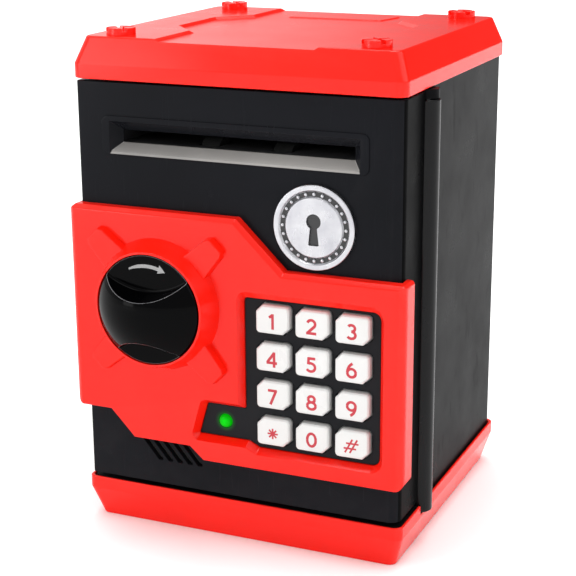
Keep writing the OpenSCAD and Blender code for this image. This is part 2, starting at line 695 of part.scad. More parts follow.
module battery_cover() color(dark) difference() {
    union() {
        block(bay_x0 + 0.2, bay_x1 - 0.2, cover_y, door_back_y, bay_z0 + 0.2, bay_z1 - 0.2);
        for (i = [0:5]) block(bay_x0 + 14, bay_x1 - 14, door_back_y - 0.2, door_back_y + 0.6,
            bay_z0 + 12 + 4 * i, bay_z0 + 13.4 + 4 * i);
    }
    rod_y((bay_x0 + bay_x1) / 2, bay_z1 - 4.5, small_screw_r + 0.2, cover_y - eps,
        door_back_y + eps);
}

module battery_cover_screw() color(steel)
    translate([(bay_x0 + bay_x1) / 2, door_back_y, bay_z1 - 4.5]) rotate([90, 0, 0])
        pan_screw(small_screw_r, 3, small_head_r, small_head_t);

// Cover over the latch, open towards the door, with a mouth for the bolt
module latch_housing() color(black) difference() {
    block(housing[0][0], housing[0][1], housing[1][0], housing[1][1], housing[2][0],
        housing[2][1]);
    block(housing[0][0] + housing_t, housing[0][1] - housing_t, housing[1][0] - eps,
        housing[1][1] - housing_t, housing[2][0] + housing_t, housing[2][1] - housing_t);
    block(housing[0][0] - eps, housing[0][0] + 5, bolt_y0 - gap, bolt_y1 + gap, bolt_z0 - gap,
        bolt_z1 + gap);
    for (x = housing_screw_x) rod_y(x, housing_screw_z, small_screw_r, housing[1][0] - eps,
        housing[1][1] + eps);
}

module latch_screws() color(steel) for (x = housing_screw_x)
    translate([x, housing[1][1], housing_screw_z]) rotate([90, 0, 0])
        pan_screw(small_screw_r, 10, small_head_r, small_head_t);

module lock_solenoid() color(steel) difference() {
    union() {
        block(dial_x - coil_half, dial_x + coil_half, disc_mid_y - 5, disc_mid_y + 3.4, coil_z0,
            coil_z1);
        rod_z(dial_x, disc_mid_y, 3.1, coil_z0 - 1.2, coil_z0);
    }
    rod_z(dial_x, disc_mid_y, plunger_r + 0.1, coil_z0 + 2, coil_z1 + eps);
}

// Coil spring around the plunger, as a closed tube swept along a helix
module plunger_spring() {
    turns = 2.5;
    steps = 30;
    sides = 6;
    height = plunger_collar_z - coil_z1 - 2 * spring_wire;
    points = [for (i = [0:steps], j = [0:sides - 1])
        let (a = 360 * turns * i / steps, b = 360 * j / sides, r = spring_r + spring_wire * cos(b))
        [r * cos(a), r * sin(a), spring_wire + height * i / steps + spring_wire * sin(b)]];
    walls = [for (i = [0:steps - 1], j = [0:sides - 1])
        let (k = (j + 1) % sides, p = i * sides, q = p + sides) [p + k, q + k, q + j, p + j]];
    ends = [[for (j = [sides - 1:-1:0]) j], [for (j = [0:sides - 1]) steps * sides + j]];
    color(steel) translate([dial_x, disc_mid_y, coil_z1]) polyhedron(points, concat(walls, ends));
}

module lock_plunger() color(brass) {
    rod_z(dial_x, disc_mid_y, plunger_r, coil_z0 + 6, plunger_top);
    rod_z(dial_x, disc_mid_y, 2.8, plunger_collar_z, plunger_collar_z + 0.8);
}

// Dome with a scoop above and below, which leaves a grip bar across it
module dial_knob() color(black) difference() {
    translate([dial_x, 0, dial_z]) rotate([90, 0, 0]) rotate_extrude($fn = 96)
        polygon(concat([[0, -dial_seat_y + 0.3], [dial_r, -dial_seat_y + 0.3]],
            [for (i = [0:12]) let (a = dome_a * (1 - i / 12))
                [dome_big * sin(a), -collar_y + dome_h - dome_big * (1 - cos(a))]]));
    for (s = [-1, 1]) rod_x(scoop_y, dial_z + s * scoop_z, scoop_r, dial_x - dial_r - 5,
        dial_x + dial_r + 5);
    rod_y(dial_x, dial_z, shaft_r, collar_y + 1, dial_seat_y);
}

module dial_shaft() color(steel)
    rod_y(dial_x, dial_z, shaft_r, collar_y + 1, bolt_y1 + 0.4);

module lock_disc() color(brass) difference() {
    rod_y(dial_x, dial_z, disc_r, disc_y0, disc_y1);
    rod_y(dial_x, dial_z, shaft_r, disc_y0 - eps, disc_y1 + eps);
    block(dial_x - notch_w / 2, dial_x + notch_w / 2, disc_y0 - eps, disc_y1 + eps,
        dial_z - disc_r - eps, dial_z - notch_in);
    block(dial_x - disc_r - eps, dial_x - notch_in, disc_y0 - eps, disc_y1 + eps,
        dial_z - notch_w / 2, dial_z + notch_w / 2);
}

module latch_pinion() color(white) difference() {
    along_y(bolt_y0 + 0.2, bolt_y1) translate([dial_x, dial_z])
        polygon(gear_outline(latch_n, latch_m, 0.8, 0.1));
    rod_y(dial_x, dial_z, shaft_r, bolt_y0 - eps, bolt_y1 + eps);
}

// Bolt with the rack on its lower edge; a tooth space stands over the pinion's upper tooth
module latch_bolt() color(steel) difference() {
    pitch_z = dial_z + latch_rp;
    union() {
        block(bolt_tip_x, dial_x + 14, bolt_y0, bolt_y1, pitch_z + 1.2, bolt_z1);
        block(bolt_tip_x, dial_x - 7, bolt_y0, bolt_y1, bolt_z0, bolt_z1);
        for (i = [-1:4]) along_y(bolt_y0, bolt_y1)
            translate([dial_x + (i - 0.5) * PI * latch_m, pitch_z])
                polygon([[-rack_foot, 1.3], [-rack_tip, -0.6], [rack_tip, -0.6], [rack_foot, 1.3]]);
    }
    translate([bolt_tip_x, bolt_y1, 0]) rotate(45) block(-1.2, 1.2, -1.2, 1.2, bolt_z0 - eps,
        bolt_z1 + eps);
}

module drive_shaft() color(steel) rod_x(feed_y, drive_z, axle_r, -side_x - 4, side_x + 8);

module rollers(z) color(rubber) difference() {
    for (s = [-1, 1]) rod_x(feed_y, z, roller_r, s * roller_x - roller_w / 2,
        s * roller_x + roller_w / 2);
    rod_x(feed_y, z, axle_r, -60, 60);
}

module drive_rollers() rollers(drive_z);

module drive_gear() color(white) difference() {
    along_x(side_x + side_t + 1.5, side_x + side_t + 5) translate([feed_y, drive_z])
        polygon(gear_outline(gear_n, feed_m, 0.8, 0.08));
    rod_x(feed_y, drive_z, axle_r, side_x, side_x + 20);
}

module pinch_shaft() color(steel) rod_x(feed_y, pinch_z, axle_r, -side_x - 4, side_x + 4);

module pinch_rollers() rollers(pinch_z);

// The pinion's upper tooth is turned by half a pitch so that it meets a space of the gear
module motor_pinion() color(brass) {
    along_x(side_x + side_t + 1, side_x + side_t + 5.5) translate([feed_y, motor_z])
        rotate(180 / pinion_n) polygon(gear_outline(pinion_n, feed_m, 0.8, 0.08));
    rod_x(feed_y, motor_z, 1, side_x + 2.1, side_x + side_t + 6);
}

base_tray();
cash_box();
top_lid();
hinge_pins();
strike_plate();
lid_screws();
base_screws();
door_shell();
door_back_cover();
cover_screws();
fascia_panel();
keypad_bezel();
keypad_membrane();
keypad_board();
status_led();
emblem_badge();
note_slot_frame();
speaker();
control_board();
feed_chassis();
shaft_bushes();
feed_motor();
battery_box();
battery_cells();
battery_contacts();
battery_cover();
battery_cover_screw();
latch_housing();
latch_screws();
lock_solenoid();
plunger_spring();
lock_plunger();
dial_knob();
dial_shaft();
lock_disc();
latch_pinion();
latch_bolt();
drive_shaft();
drive_rollers();
drive_gear();
pinch_shaft();
pinch_rollers();
motor_pinion();
for (i = [0:11]) key(i);
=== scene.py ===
"""Looks of the toy safe coin bank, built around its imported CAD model.

Shapes are written in millimetres in the model's own frame: +Z up, -Y to the front, +X to the hinge.
"""

import json
import math

import bmesh
import bpy
from mathutils import Matrix, Vector
from mathutils.geometry import delaunay_2d_cdt


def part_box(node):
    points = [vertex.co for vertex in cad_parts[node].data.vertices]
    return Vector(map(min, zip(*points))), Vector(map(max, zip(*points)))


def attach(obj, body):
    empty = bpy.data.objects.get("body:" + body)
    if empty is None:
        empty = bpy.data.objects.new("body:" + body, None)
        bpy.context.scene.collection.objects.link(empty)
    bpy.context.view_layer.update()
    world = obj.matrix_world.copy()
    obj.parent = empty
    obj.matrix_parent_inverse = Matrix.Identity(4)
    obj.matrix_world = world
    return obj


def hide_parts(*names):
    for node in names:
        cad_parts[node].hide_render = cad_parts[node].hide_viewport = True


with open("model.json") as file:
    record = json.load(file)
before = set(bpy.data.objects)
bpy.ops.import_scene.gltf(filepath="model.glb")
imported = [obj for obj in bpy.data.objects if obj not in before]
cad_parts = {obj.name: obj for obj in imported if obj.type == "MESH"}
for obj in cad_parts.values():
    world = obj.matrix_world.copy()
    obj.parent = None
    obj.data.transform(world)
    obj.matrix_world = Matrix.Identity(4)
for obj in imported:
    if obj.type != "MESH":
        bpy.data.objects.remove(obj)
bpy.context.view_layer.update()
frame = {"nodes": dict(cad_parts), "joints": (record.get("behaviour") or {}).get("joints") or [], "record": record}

MM = 0.001
NODES = frame["nodes"]
JOINTS = {j["name"]: j for j in frame["joints"]}

DOOR_FRONT = -57.0  # Y of the door's front face, behind fascia, badge and slot
DIAL_RIM = -70.0  # Y of the dial's rim and of the collar round it
TUNNEL_Z = (143.6, 155.4)  # the slot frame's tunnel through the door, low and high
TUNNEL_SIDE = 3.1  # and how far it stays inside the frame at each end
PEG_X, PEG_R = 8, 1.5  # the badge's two pegs: distance from its middle, radius
BOARD_HALF = 0.8  # half a circuit board's thickness
CONTROL_BOARD = -47.2  # Y of the middle of the control board
TINY_EDGE = 0.12  # bevel on machined and stamped edges


# ---- outlines

def box_mm(node):
    """Lowest and highest corner of a CAD node, in millimetres."""
    lo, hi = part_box(node)
    return lo / MM, hi / MM


def middle_xz(lo, hi):
    """The middle of a box, seen from the front."""
    return (lo.x + hi.x) / 2, (lo.z + hi.z) / 2


def joint_mm(name):
    """A point on a joint's axis, in millimetres."""
    return Vector(JOINTS[name]["pos_m"]) / MM


def rect(x0, x1, y0, y1, r):
    """Corners (a, b, radius) of a rectangle, counter-clockwise."""
    return [(x0, y0, r), (x1, y0, r), (x1, y1, r), (x0, y1, r)]


def edges(corners, i):
    """A corner's point, and the directions of the edges that lead to it and away from it."""
    p, before, after = (Vector(corners[k][:2]) for k in (i, i - 1, (i + 1) % len(corners)))
    return p, (p - before).normalized(), (after - p).normalized()


def round_off(start, u, turn, r, seg):
    """Points on a corner's arc, which leaves the direction u at start and turns by an angle."""
    centre = start + Vector((-u.y, u.x)) * math.copysign(r, turn)
    return [centre + Matrix.Rotation(turn * k / seg, 2) @ (start - centre)
            for k in range(seg + 1)]


def inset(corners, by):
    """The outline moved inwards by one distance, or by one distance for each edge."""
    by = by if isinstance(by, (list, tuple)) else [by] * len(corners)
    moved = []
    for i, (_, _, r) in enumerate(corners):
        p, u, v = edges(corners, i)
        turn = u.cross(v)
        d0, d1 = by[i - 1], by[i]
        q = p + (v * d0 - u * d1) / turn
        r += -(d0 + d1) / 2 if turn > 0 else (d0 + d1) / 2
        moved.append((q.x, q.y, max(r, 0.03)))
    return moved


def outline(corners, seg):
    """Points round an outline whose corners are rounded to their own radii."""
    points = []
    for i, (_, _, r) in enumerate(corners):
        p, u, v = edges(corners, i)
        turn = math.atan2(u.cross(v), u.dot(v))
        points += round_off(p - u * r * math.tan(abs(turn) / 2), u, turn, r, seg)
    return points


def soften(line, radius, seg):
    """An open line with its inner corners rounded to one radius, or to one radius each."""
    radii = radius if isinstance(radius, (list, tuple)) else [radius] * (len(line) - 2)
    points = [Vector(line[0])]
    for i, r in enumerate(radii, 1):
        a, p, b = (Vector(line[k]) for k in (i - 1, i, i + 1))
        u, v = (p - a).normalized(), (b - p).normalized()
        turn = math.atan2(u.cross(v), u.dot(v))
        if abs(turn) < 1e-4:
            points.append(p)
            continue
        reach = min(r * math.tan(abs(turn) / 2), (p - a).length / 2, (b - p).length / 2)
        points += round_off(p - u * reach, u, turn, reach / math.tan(abs(turn) / 2), seg)
    return points + [Vector(line[-1])]


def arc(cx, cy, rx, ry, a0, a1, n=14):
    """Points on an ellipse's arc, with its angles in degrees."""
    angles = [math.radians(a0 + (a1 - a0) * i / n) for i in range(n + 1)]
    return [Vector((cx + rx * math.cos(a), cy + ry * math.sin(a))) for a in angles]


# ---- solids

def along_y(a, b, c):
    """A point (a, b) of an outline, at c along Y."""
    return (a, c, b)


def along_z(a, b, c):
    """A point (a, b) of an outline, at c along Z."""
    return (a, b, c)


def placed(name, data):
    """A new object in the scene."""
    obj = bpy.data.objects.new(name, data)
    bpy.context.scene.collection.objects.link(obj)
    return obj


def discard(obj):
    """Removes an object and its mesh."""
    mesh = obj.data
    bpy.data.objects.remove(obj)
    bpy.data.meshes.remove(mesh)


def to_object(bm, name):
    """A new object from a bmesh in millimetres, with its faces turned outwards."""
    bmesh.ops.remove_doubles(bm, verts=bm.verts, dist=1e-4)
    bmesh.ops.recalc_face_normals(bm, faces=bm.faces)
    if bm.calc_volume(signed=True) < 0:
        bmesh.ops.reverse_faces(bm, faces=bm.faces)
    bmesh.ops.scale(bm, vec=(MM, MM, MM), verts=bm.verts)
    mesh = bpy.data.meshes.new(name)
    bm.to_mesh(mesh)
    bm.free()
    return placed(name, mesh)


def walls(bm, rings):
    """Rows of vertices from rings of points, with faces between neighbouring rows."""
    rows = [[bm.verts.new(p) for p in ring] for ring in rings]
    n = len(rows[0])
    for lower, upper in zip(rows, rows[1:]):
        for i in range(n):
            j = (i + 1) % n
            bm.faces.new((lower[i], lower[j], upper[j], upper[i]))
    return rows


def loft(rings, name):
    """A closed solid through rings of points, all with the same number of points."""
    bm = bmesh.new()
    rows = walls(bm, rings)
    bm.faces.new(rows[0][::-1])
    bm.faces.new(rows[-1])
    return to_object(bm, name)


def stack(sections, place, name, seg):
    """A solid through outlines: sections are (corners, position along the axis)."""
    return loft([[place(p.x, p.y, at) for p in outline(corners, seg)]
                 for corners, at in sections], name)


def turned(profile, centre, place, name="turned", steps=96):
    """A solid turned about an axis: profile is (radius, position), both ends closed."""
    bm = bmesh.new()
    rows = []
    for r, at in profile:
        if r < 1e-6:  # a point on the axis is one vertex
            rows.append([bm.verts.new(place(centre[0], centre[1], at))] * steps)
            continue
        row = []
        for i in range(steps):
            a = 2 * math.pi * i / steps
            row.append(bm.verts.new(place(centre[0] + r * math.cos(a),
                                          centre[1] + r * math.sin(a), at)))
        rows.append(row)
    for lower, upper in zip(rows, rows[1:]):
        for i in range(steps):
            j = (i + 1) % steps
            loop = []
            for v in (lower[i], lower[j], upper[j], upper[i]):
                if v not in loop:
                    loop.append(v)
            if len(loop) > 2:
                bm.faces.new(loop)
    for row in (rows[0], rows[-1]):
        if row[0] is not row[1]:
            bm.faces.new(row)
    return to_object(bm, name)


def block(x0, x1, y0, y1, z0, z1):
    """A plain rectangular cutter."""
    corners = rect(x0, x1, y0, y1, 0.02)
    return stack([(corners, z0), (corners, z1)], along_z, "block", seg=1)


def rod(centre, r, a, b, place, steps=32):
    """A plain round cutter or pin."""
    return turned([(r, a), (r, b)], centre, place, "rod", steps)


def boolean(base, others, operation):
    """The base after one boolean with each of the other objects, which are removed."""
    for other in others:
        step = base.modifiers.new("step", "BOOLEAN")
        step.operation, step.solver, step.object = operation, "MANIFOLD", other
        bpy.context.view_layer.update()
        depsgraph = bpy.context.evaluated_depsgraph_get()
        mesh = bpy.data.meshes.new_from_object(base.evaluated_get(depsgraph))
        base.modifiers.clear()
        old, base.data = base.data, mesh
        bpy.data.meshes.remove(old)
        discard(other)
    return base


def merged(objects):
    """One object from several that don't touch."""
    first = objects[0]
    bm = bmesh.new()
    for o in objects:
        bm.from_mesh(o.data)
    bm.to_mesh(first.data)
    bm.free()
    for o in objects[1:]:
        discard(o)
    return first


def add(base, *others):
    """The base joined with each of the others."""
    return boolean(base, others, "UNION")


def cut(base, *others):
    """The base with each of the others cut out of it."""
    return boolean(base, others, "DIFFERENCE")


def bevel(obj, width, segments, angle):
    """Softened edges wherever two faces turn by more than an angle in degrees."""
    soft = obj.modifiers.new("soft", "BEVEL")
    soft.width, soft.segments = width * MM, segments
    soft.limit_method, soft.angle_limit = "ANGLE", math.radians(angle)
    return soft


def flatten_shading(obj, keep_sharp):
    """Normals weighted by area, so that flat faces look flat beside rounded edges."""
    step = obj.modifiers.new("normals", "WEIGHTED_NORMAL")
    step.keep_sharp, step.weight = keep_sharp, 80


def shade(obj, angle):
    """Smooth shading that stays crisp at sharp edges and flat on flat faces."""
    obj.data.shade_smooth()
    obj.data.set_sharp_from_angle(angle=math.radians(angle))
    flatten_shading(obj, True)


def piece(obj, name, body, replaced, materials, angle=28):
    """Finishes a modelled piece: shading, materials, body and the CAD nodes it stands for."""
    bm = bmesh.new()
    bm.from_mesh(obj.data)
    bmesh.ops.remove_doubles(bm, verts=bm.verts, dist=2e-6)
    bmesh.ops.dissolve_degenerate(bm, edges=bm.edges, dist=1e-6)
    bm.to_mesh(obj.data)
    bm.free()
    obj.name = obj.data.name = name
    keep = [p.material_index for p in obj.data.polygons]
    obj.data.materials.clear()
    for m in materials:
        obj.data.materials.append(m)
    for p, i in zip(obj.data.polygons, keep):
        p.material_index = min(i, len(materials) - 1)
    shade(obj, angle)
    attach(obj, body)
    if replaced:
        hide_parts(*replaced)


# ---- materials

class Shader:
    """A Principled material with small helpers for its node tree."""

    def __init__(self, name):
        self.material = bpy.data.materials.new(name)
        self.material.use_nodes = True
        self.tree = self.material.node_tree
        self.bsdf = self.tree.nodes["Principled BSDF"]
        self.place = self.node("ShaderNodeTexCoord").outputs["Object"]

    def node(self, kind, **values):
        """A new node, with its properties and its inputs set by name."""
        n = self.tree.nodes.new(kind)
        for key, value in values.items():
            if hasattr(n, key):
                setattr(n, key, value)
            else:
                n.inputs[key.replace("_", " ")].default_value = value
        return n

    def link(self, a, b):
        self.tree.links.new(a, b)

    def set(self, **values):
        """Sets plain values on the shader's own sockets."""
        for key, value in values.items():
            self.bsdf.inputs[key.replace("_", " ")].default_value = value

    def stretched(self, stretch):
        """Object coordinates scaled differently along each axis."""
        mapping = self.node("ShaderNodeMapping")
        mapping.inputs["Scale"].default_value = stretch
        self.link(self.place, mapping.inputs["Vector"])
        return mapping.outputs["Vector"]

    def noise(self, scale, detail=4.0, stretch=None):
        n = self.node("ShaderNodeTexNoise", Scale=scale, Detail=detail, Roughness=0.55)
        self.link(self.stretched(stretch) if stretch else self.place, n.inputs["Vector"])
        return n.outputs["Fac"]

    def remap(self, value, a, b, c, d):
        """A value taken from the range a to b into the range c to d, and kept in it."""
        n = self.node("ShaderNodeMapRange")
        for i, v in enumerate((a, b, c, d), 1):
            n.inputs[i].default_value = v
        self.link(value, n.inputs[0])
        return n.outputs[0]

    def math(self, operation, a, b=0.0):
        n = self.node("ShaderNodeMath", operation=operation)
        for i, v in enumerate((a, b)):
            if isinstance(v, (int, float)):
                n.inputs[i].default_value = v
            else:
                self.link(v, n.inputs[i])
        return n.outputs[0]

    def mix(self, fac, a, b):
        n = self.node("ShaderNodeMix", data_type="RGBA")
        self.link(fac, n.inputs["Factor"])
        for socket, v in ((n.inputs[6], a), (n.inputs[7], b)):
            if isinstance(v, tuple):
                socket.default_value = (*v, 1)
            else:
                self.link(v, socket)
        return n.outputs[2]

    def axis(self, which):
        """One object coordinate, in metres."""
        n = self.node("ShaderNodeSeparateXYZ")
        self.link(self.place, n.inputs[0])
        return n.outputs[which]

    def distance(self, centre, stretch):
        """Distance in metres from a point in millimetres, scaled along each axis."""
        mapping = self.node("ShaderNodeMapping")
        mapping.inputs["Scale"].default_value = stretch
        mapping.inputs["Location"].default_value = [-c * MM * s for c, s in zip(centre, stretch)]
        self.link(self.place, mapping.inputs["Vector"])
        n = self.node("ShaderNodeVectorMath", operation="LENGTH")
        self.link(mapping.outputs["Vector"], n.inputs[0])
        return n.outputs["Value"]

    def wear(self):
        """0 on flats and 1 on outer edges."""
        return self.remap(self.node("ShaderNodeNewGeometry").outputs["Pointiness"],
                          0.52, 0.6, 0.0, 1.0)

    def bump(self, layers):
        """Chained bumps; each layer is (height, strength, distance in metres)."""
        normal = None
        for height, strength, distance in layers:
            n = self.node("ShaderNodeBump", Strength=strength, Distance=distance)
            self.link(height, n.inputs["Height"])
            if normal:
                self.link(normal, n.inputs["Normal"])
            normal = n.outputs["Normal"]
        self.link(normal, self.bsdf.inputs["Normal"])

    def colour(self, socket):
        self.link(socket, self.bsdf.inputs["Base Color"])

    def roughness(self, socket):
        self.link(socket, self.bsdf.inputs["Roughness"])


def plastic(name, base, tint, rough, specular, grain, waves, worn=None):
    """Moulded plastic: slight colour drift, edge wear, fine grain, flow waves, faint scuffs."""
    s = Shader(name)
    drift = s.remap(s.noise(22.0, 3.0), 0.35, 0.65, 0.0, 1.0)
    colour = s.mix(drift, base, tint)
    if worn:
        edge = s.math("MULTIPLY", s.wear(), s.remap(s.noise(160.0), 0.3, 0.7, 0.2, 0.9))
        colour = s.mix(edge, colour, worn)
    s.colour(colour)
    scuffs = s.remap(s.noise(900.0, 2.0, stretch=(1.0, 0.2, 0.06)), 0.62, 0.72, 0.0, 0.06)
    cloud = s.remap(s.noise(55.0, 5.0), 0.3, 0.7, rough * 0.85, rough * 1.2)
    s.roughness(s.math("ADD", cloud, scuffs))
    s.bump([(s.noise(14.0, 2.0), waves, 0.002),
            (s.noise(2600.0, 2.0), grain, 0.00002)])
    s.set(Specular_IOR_Level=specular)
    return s.material


def brushed(name, base, tint, rough, stretch, streak=0.12):
    """Bare or plated metal with fine streaks along one axis and a few duller patches."""
    s = Shader(name)
    streaks = s.noise(700.0, 3.0, stretch=stretch)
    patches = s.remap(s.noise(120.0, 4.0), 0.4, 0.7, 0.0, 1.0)
    s.colour(s.mix(patches, base, tint))
    s.roughness(s.remap(streaks, 0.3, 0.7, rough * 0.75, rough * 1.4))
    s.bump([(streaks, streak, 0.00003)])
    s.set(Metallic=1.0)
    return s.material


def rubber(name, base, tint):
    """Dull rubber with a little dust."""
    s = Shader(name)
    dust = s.remap(s.noise(300.0, 5.0), 0.45, 0.75, 0.0, 1.0)
    s.colour(s.mix(dust, base, tint))
    s.roughness(s.remap(s.noise(800.0), 0.3, 0.7, 0.7, 0.92))
    s.bump([(s.noise(3500.0, 3.0), 0.5, 0.00003)])
    s.set(Specular_IOR_Level=0.35)
    return s.material


def board_material(name, middle):
    """Solder mask with copper tracks under it; whatever stands off the board is black."""
    s = Shader(name)
    cells = s.node("ShaderNodeTexVoronoi", feature="DISTANCE_TO_EDGE", Scale=260.0)
    s.link(s.stretched((1.0, 1.0, 0.35)), cells.inputs["Vector"])
    track = s.remap(cells.outputs["Distance"], 0.06, 0.1, 1.0, 0.0)
    mask = s.mix(track, (0.012, 0.13, 0.05), (0.03, 0.25, 0.1))
    off = s.math("ABSOLUTE", s.math("SUBTRACT", s.axis("Y"), middle * MM))
    part = s.math("GREATER_THAN", off, (BOARD_HALF + 0.05) * MM)
    parts = s.mix(s.remap(s.noise(400.0), 0.4, 0.6, 0, 1), (0.015, 0.015, 0.017),
                  (0.03, 0.03, 0.033))
    s.colour(s.mix(part, mask, parts))
    s.roughness(s.remap(s.noise(500.0), 0.3, 0.7, 0.3, 0.45))
    s.bump([(track, 0.3, 0.00004)])
    return s.material


def cell_material(name, lo, hi):
    """Battery wrap in two plain bands, with bare steel at both ends."""
    bare_end, first_band = 1.2, 0.3
    s = Shader(name)
    x = s.axis("X")
    band = s.math("GREATER_THAN", x, (lo.x + (hi.x - lo.x) * first_band) * MM)
    wrap = s.mix(band, (0.62, 0.30, 0.05), (0.02, 0.02, 0.022))
    middle = (lo.x + hi.x) / 2
    reach = s.math("ABSOLUTE", s.math("SUBTRACT", x, middle * MM))
    bare = s.math("GREATER_THAN", reach, ((hi.x - lo.x) / 2 - bare_end) * MM)
    s.colour(s.mix(bare, wrap, (0.7, 0.7, 0.68)))
    s.link(bare, s.bsdf.inputs["Metallic"])
    s.roughness(s.remap(s.noise(300.0), 0.3, 0.7, 0.22, 0.34))
    s.bump([(s.noise(500.0), 0.15, 0.00004)])
    return s.material


def led_material(name, centre, radius):
    """Lit green lens: a hot middle that falls off towards the rim."""
    s = Shader(name)
    off = s.math("DIVIDE", s.distance(centre, (1, 0.2, 1)), radius * MM)
    glow = s.remap(off, 0.0, 1.0, 1.0, 0.0)
    speckle = s.remap(s.noise(900.0), 0.3, 0.7, 0.9, 1.1)
    light = s.mix(glow, (0.0, 0.42, 0.0), (0.0, 0.72, 0.0))
    s.colour(s.mix(glow, (0.002, 0.10, 0.004), (0.002, 0.20, 0.006)))
    s.link(light, s.bsdf.inputs["Emission Color"])
    s.link(s.math("MULTIPLY", s.remap(off, 0.0, 1.05, 0.85, 0.75), speckle),
           s.bsdf.inputs["Emission Strength"])
    s.roughness(s.remap(s.noise(600.0), 0.3, 0.7, 0.12, 0.2))
    s.bump([(s.noise(700.0), 0.1, 0.00004)])
    s.set(Specular_IOR_Level=0.05)
    return s.material


def bezel_material(name, centre):
    """Fine-grained black panel with a painted green glow near the lamp, standing in for the lamp's light on it."""
    s = Shader(name)
    s.colour(s.mix(s.remap(s.noise(30.0), 0.35, 0.65, 0, 1), (0.0085, 0.0088, 0.0105),
                   (0.011, 0.0112, 0.013)))
    s.roughness(s.remap(s.noise(200.0), 0.3, 0.7, 0.36, 0.46))
    s.bump([(s.noise(12.0, 2.0), 0.05, 0.002), (s.noise(3000.0, 2.0), 0.4, 0.00002)])
    # painted glow: the panel itself emits green close to the lamp
    glow_from, glow_to = 2.4, 4.6
    near = s.remap(s.distance(centre, (1, 0.3, 1)), glow_from * MM, glow_to * MM, 1.0, 0.0)
    s.link(s.math("MULTIPLY", s.math("POWER", near, 2.2), 0.16),
           s.bsdf.inputs["Emission Strength"])
    s.set(Emission_Color=(0.0, 0.8, 0.02, 1), Specular_IOR_Level=0.08)
    return s.material


led_lo, led_hi = box_mm("status_led")
LED = Vector(((led_lo.x + led_hi.x) / 2, led_lo.y, (led_lo.z + led_hi.z) / 2))

# name, colour, colour it drifts to, roughness, specular level, grain, flow waves, worn edges
RED = plastic("red_plastic", (0.86, 0.010, 0.003), (0.80, 0.008, 0.002), 0.17, 0.25, 0.12, 0.07,
              worn=(0.9, 0.03, 0.02))
BLACK = plastic("black_plastic", (0.0062, 0.0066, 0.0082), (0.0078, 0.0082, 0.0104), 0.24, 0.045,
                0.2, 0.06, worn=(0.012, 0.012, 0.014))
CABINET = plastic("cabinet_plastic", (0.0042, 0.0042, 0.0046), (0.0056, 0.0056, 0.006), 0.3, 0.02,
                  0.3, 0.08, worn=(0.012, 0.012, 0.014))
BARREL = plastic("barrel_plastic", (0.0035, 0.0035, 0.004), (0.005, 0.005, 0.0055), 0.2, 0.16,
                 0.2, 0.05)
# a darker, less glossy copy of the door's black for its hinge-side faces: painted shade
DOOR_SIDE_SHADE = plastic("door_side_painted_shade", (0.0022, 0.0022, 0.0024), (0.003, 0.003, 0.0032), 0.3, 0.012,
                    0.3, 0.05)
KNOB = plastic("knob_plastic", (0.0005, 0.0005, 0.0007), (0.0007, 0.0007, 0.0009), 0.09, 0.045,
               0.05, 0.03)
# light grey for the knob's bevelled edges: a painted highlight
KNOB_EDGE_HIGHLIGHT = plastic("knob_edge_highlight", (0.11, 0.11, 0.115), (0.16, 0.16, 0.165), 0.15, 0.5, 0.05, 0.03)
# light grey for the funnel's upward faces: a painted reflection of the light above them
SILL_REFLECTION = plastic("slot_sill_painted_reflection", (0.24, 0.23, 0.22), (0.33, 0.315, 0.30), 0.36, 0.6, 0.6, 0.2)
DARK = plastic("dark_plastic", (0.014, 0.014, 0.015), (0.02, 0.02, 0.021), 0.48, 0.35, 0.7, 0.05,
               worn=(0.05, 0.05, 0.052))
BEZEL = bezel_material("bezel_plastic", LED)
KEY = plastic("key_plastic", (0.665, 0.665, 0.655), (0.64, 0.638, 0.625), 0.3, 0.45, 0.25, 0.05)
KEY_MARK = plastic("key_mark_ink", (0.50, 0.028, 0.045), (0.44, 0.024, 0.038), 0.4, 0.4, 0.3, 0.02)
GREY_INK = plastic("grey_ink", (0.34, 0.34, 0.34), (0.22, 0.22, 0.22), 0.45, 0.4, 0.5, 0.02)
NYLON = plastic("nylon", (0.74, 0.73, 0.67), (0.66, 0.64, 0.56), 0.42, 0.45, 0.3, 0.04)
CARD = plastic("speaker_card", (0.022, 0.021, 0.02), (0.035, 0.033, 0.03), 0.75, 0.3, 0.9, 0.02)
SILICONE = plastic("silicone", (0.52, 0.53, 0.55), (0.46, 0.47, 0.5), 0.5, 0.4, 0.3, 0.05)
BADGE = brushed("badge_metal", (0.50, 0.50, 0.52), (0.40, 0.40, 0.43), 0.3, (1, 1, 0.25), 0.08)
BADGE_DARK = plastic("badge_enamel", (0.01, 0.01, 0.011), (0.016, 0.016, 0.018), 0.3, 0.5,
                     0.4, 0.03)
STEEL = brushed("zinc_steel", (0.58, 0.59, 0.61), (0.48, 0.49, 0.50), 0.3, (0.15, 1, 1))
BRASS = brushed("brass", (0.72, 0.52, 0.22), (0.58, 0.40, 0.16), 0.26, (1, 0.2, 1))
RUBBER = rubber("roller_rubber", (0.004, 0.004, 0.004), (0.009, 0.009, 0.0085))
LENS = led_material("led_lens", LED, 2.6)
CELLS = cell_material("cell_wrap", *box_mm("battery_cells"))
KEY_BOARD = board_material("keypad_board", sum(v.y for v in box_mm("keypad_board")) / 2)
MAIN_BOARD = board_material("control_board", CONTROL_BOARD)

# for the CAD nodes that still show; the cabinet is the only black one of them
SLOT_MATERIAL = {
    "black_plastic": CABINET, "dark_plastic": DARK, "silicone": SILICONE,
    "circuit_board": MAIN_BOARD, "steel": STEEL, "brass": BRASS, "nylon": NYLON,
    "roller_rubber": RUBBER, "speaker_card": CARD, "cell_wrap": CELLS,
}
NODE_MATERIAL = {"keypad_board": KEY_BOARD}


# ---- base tray

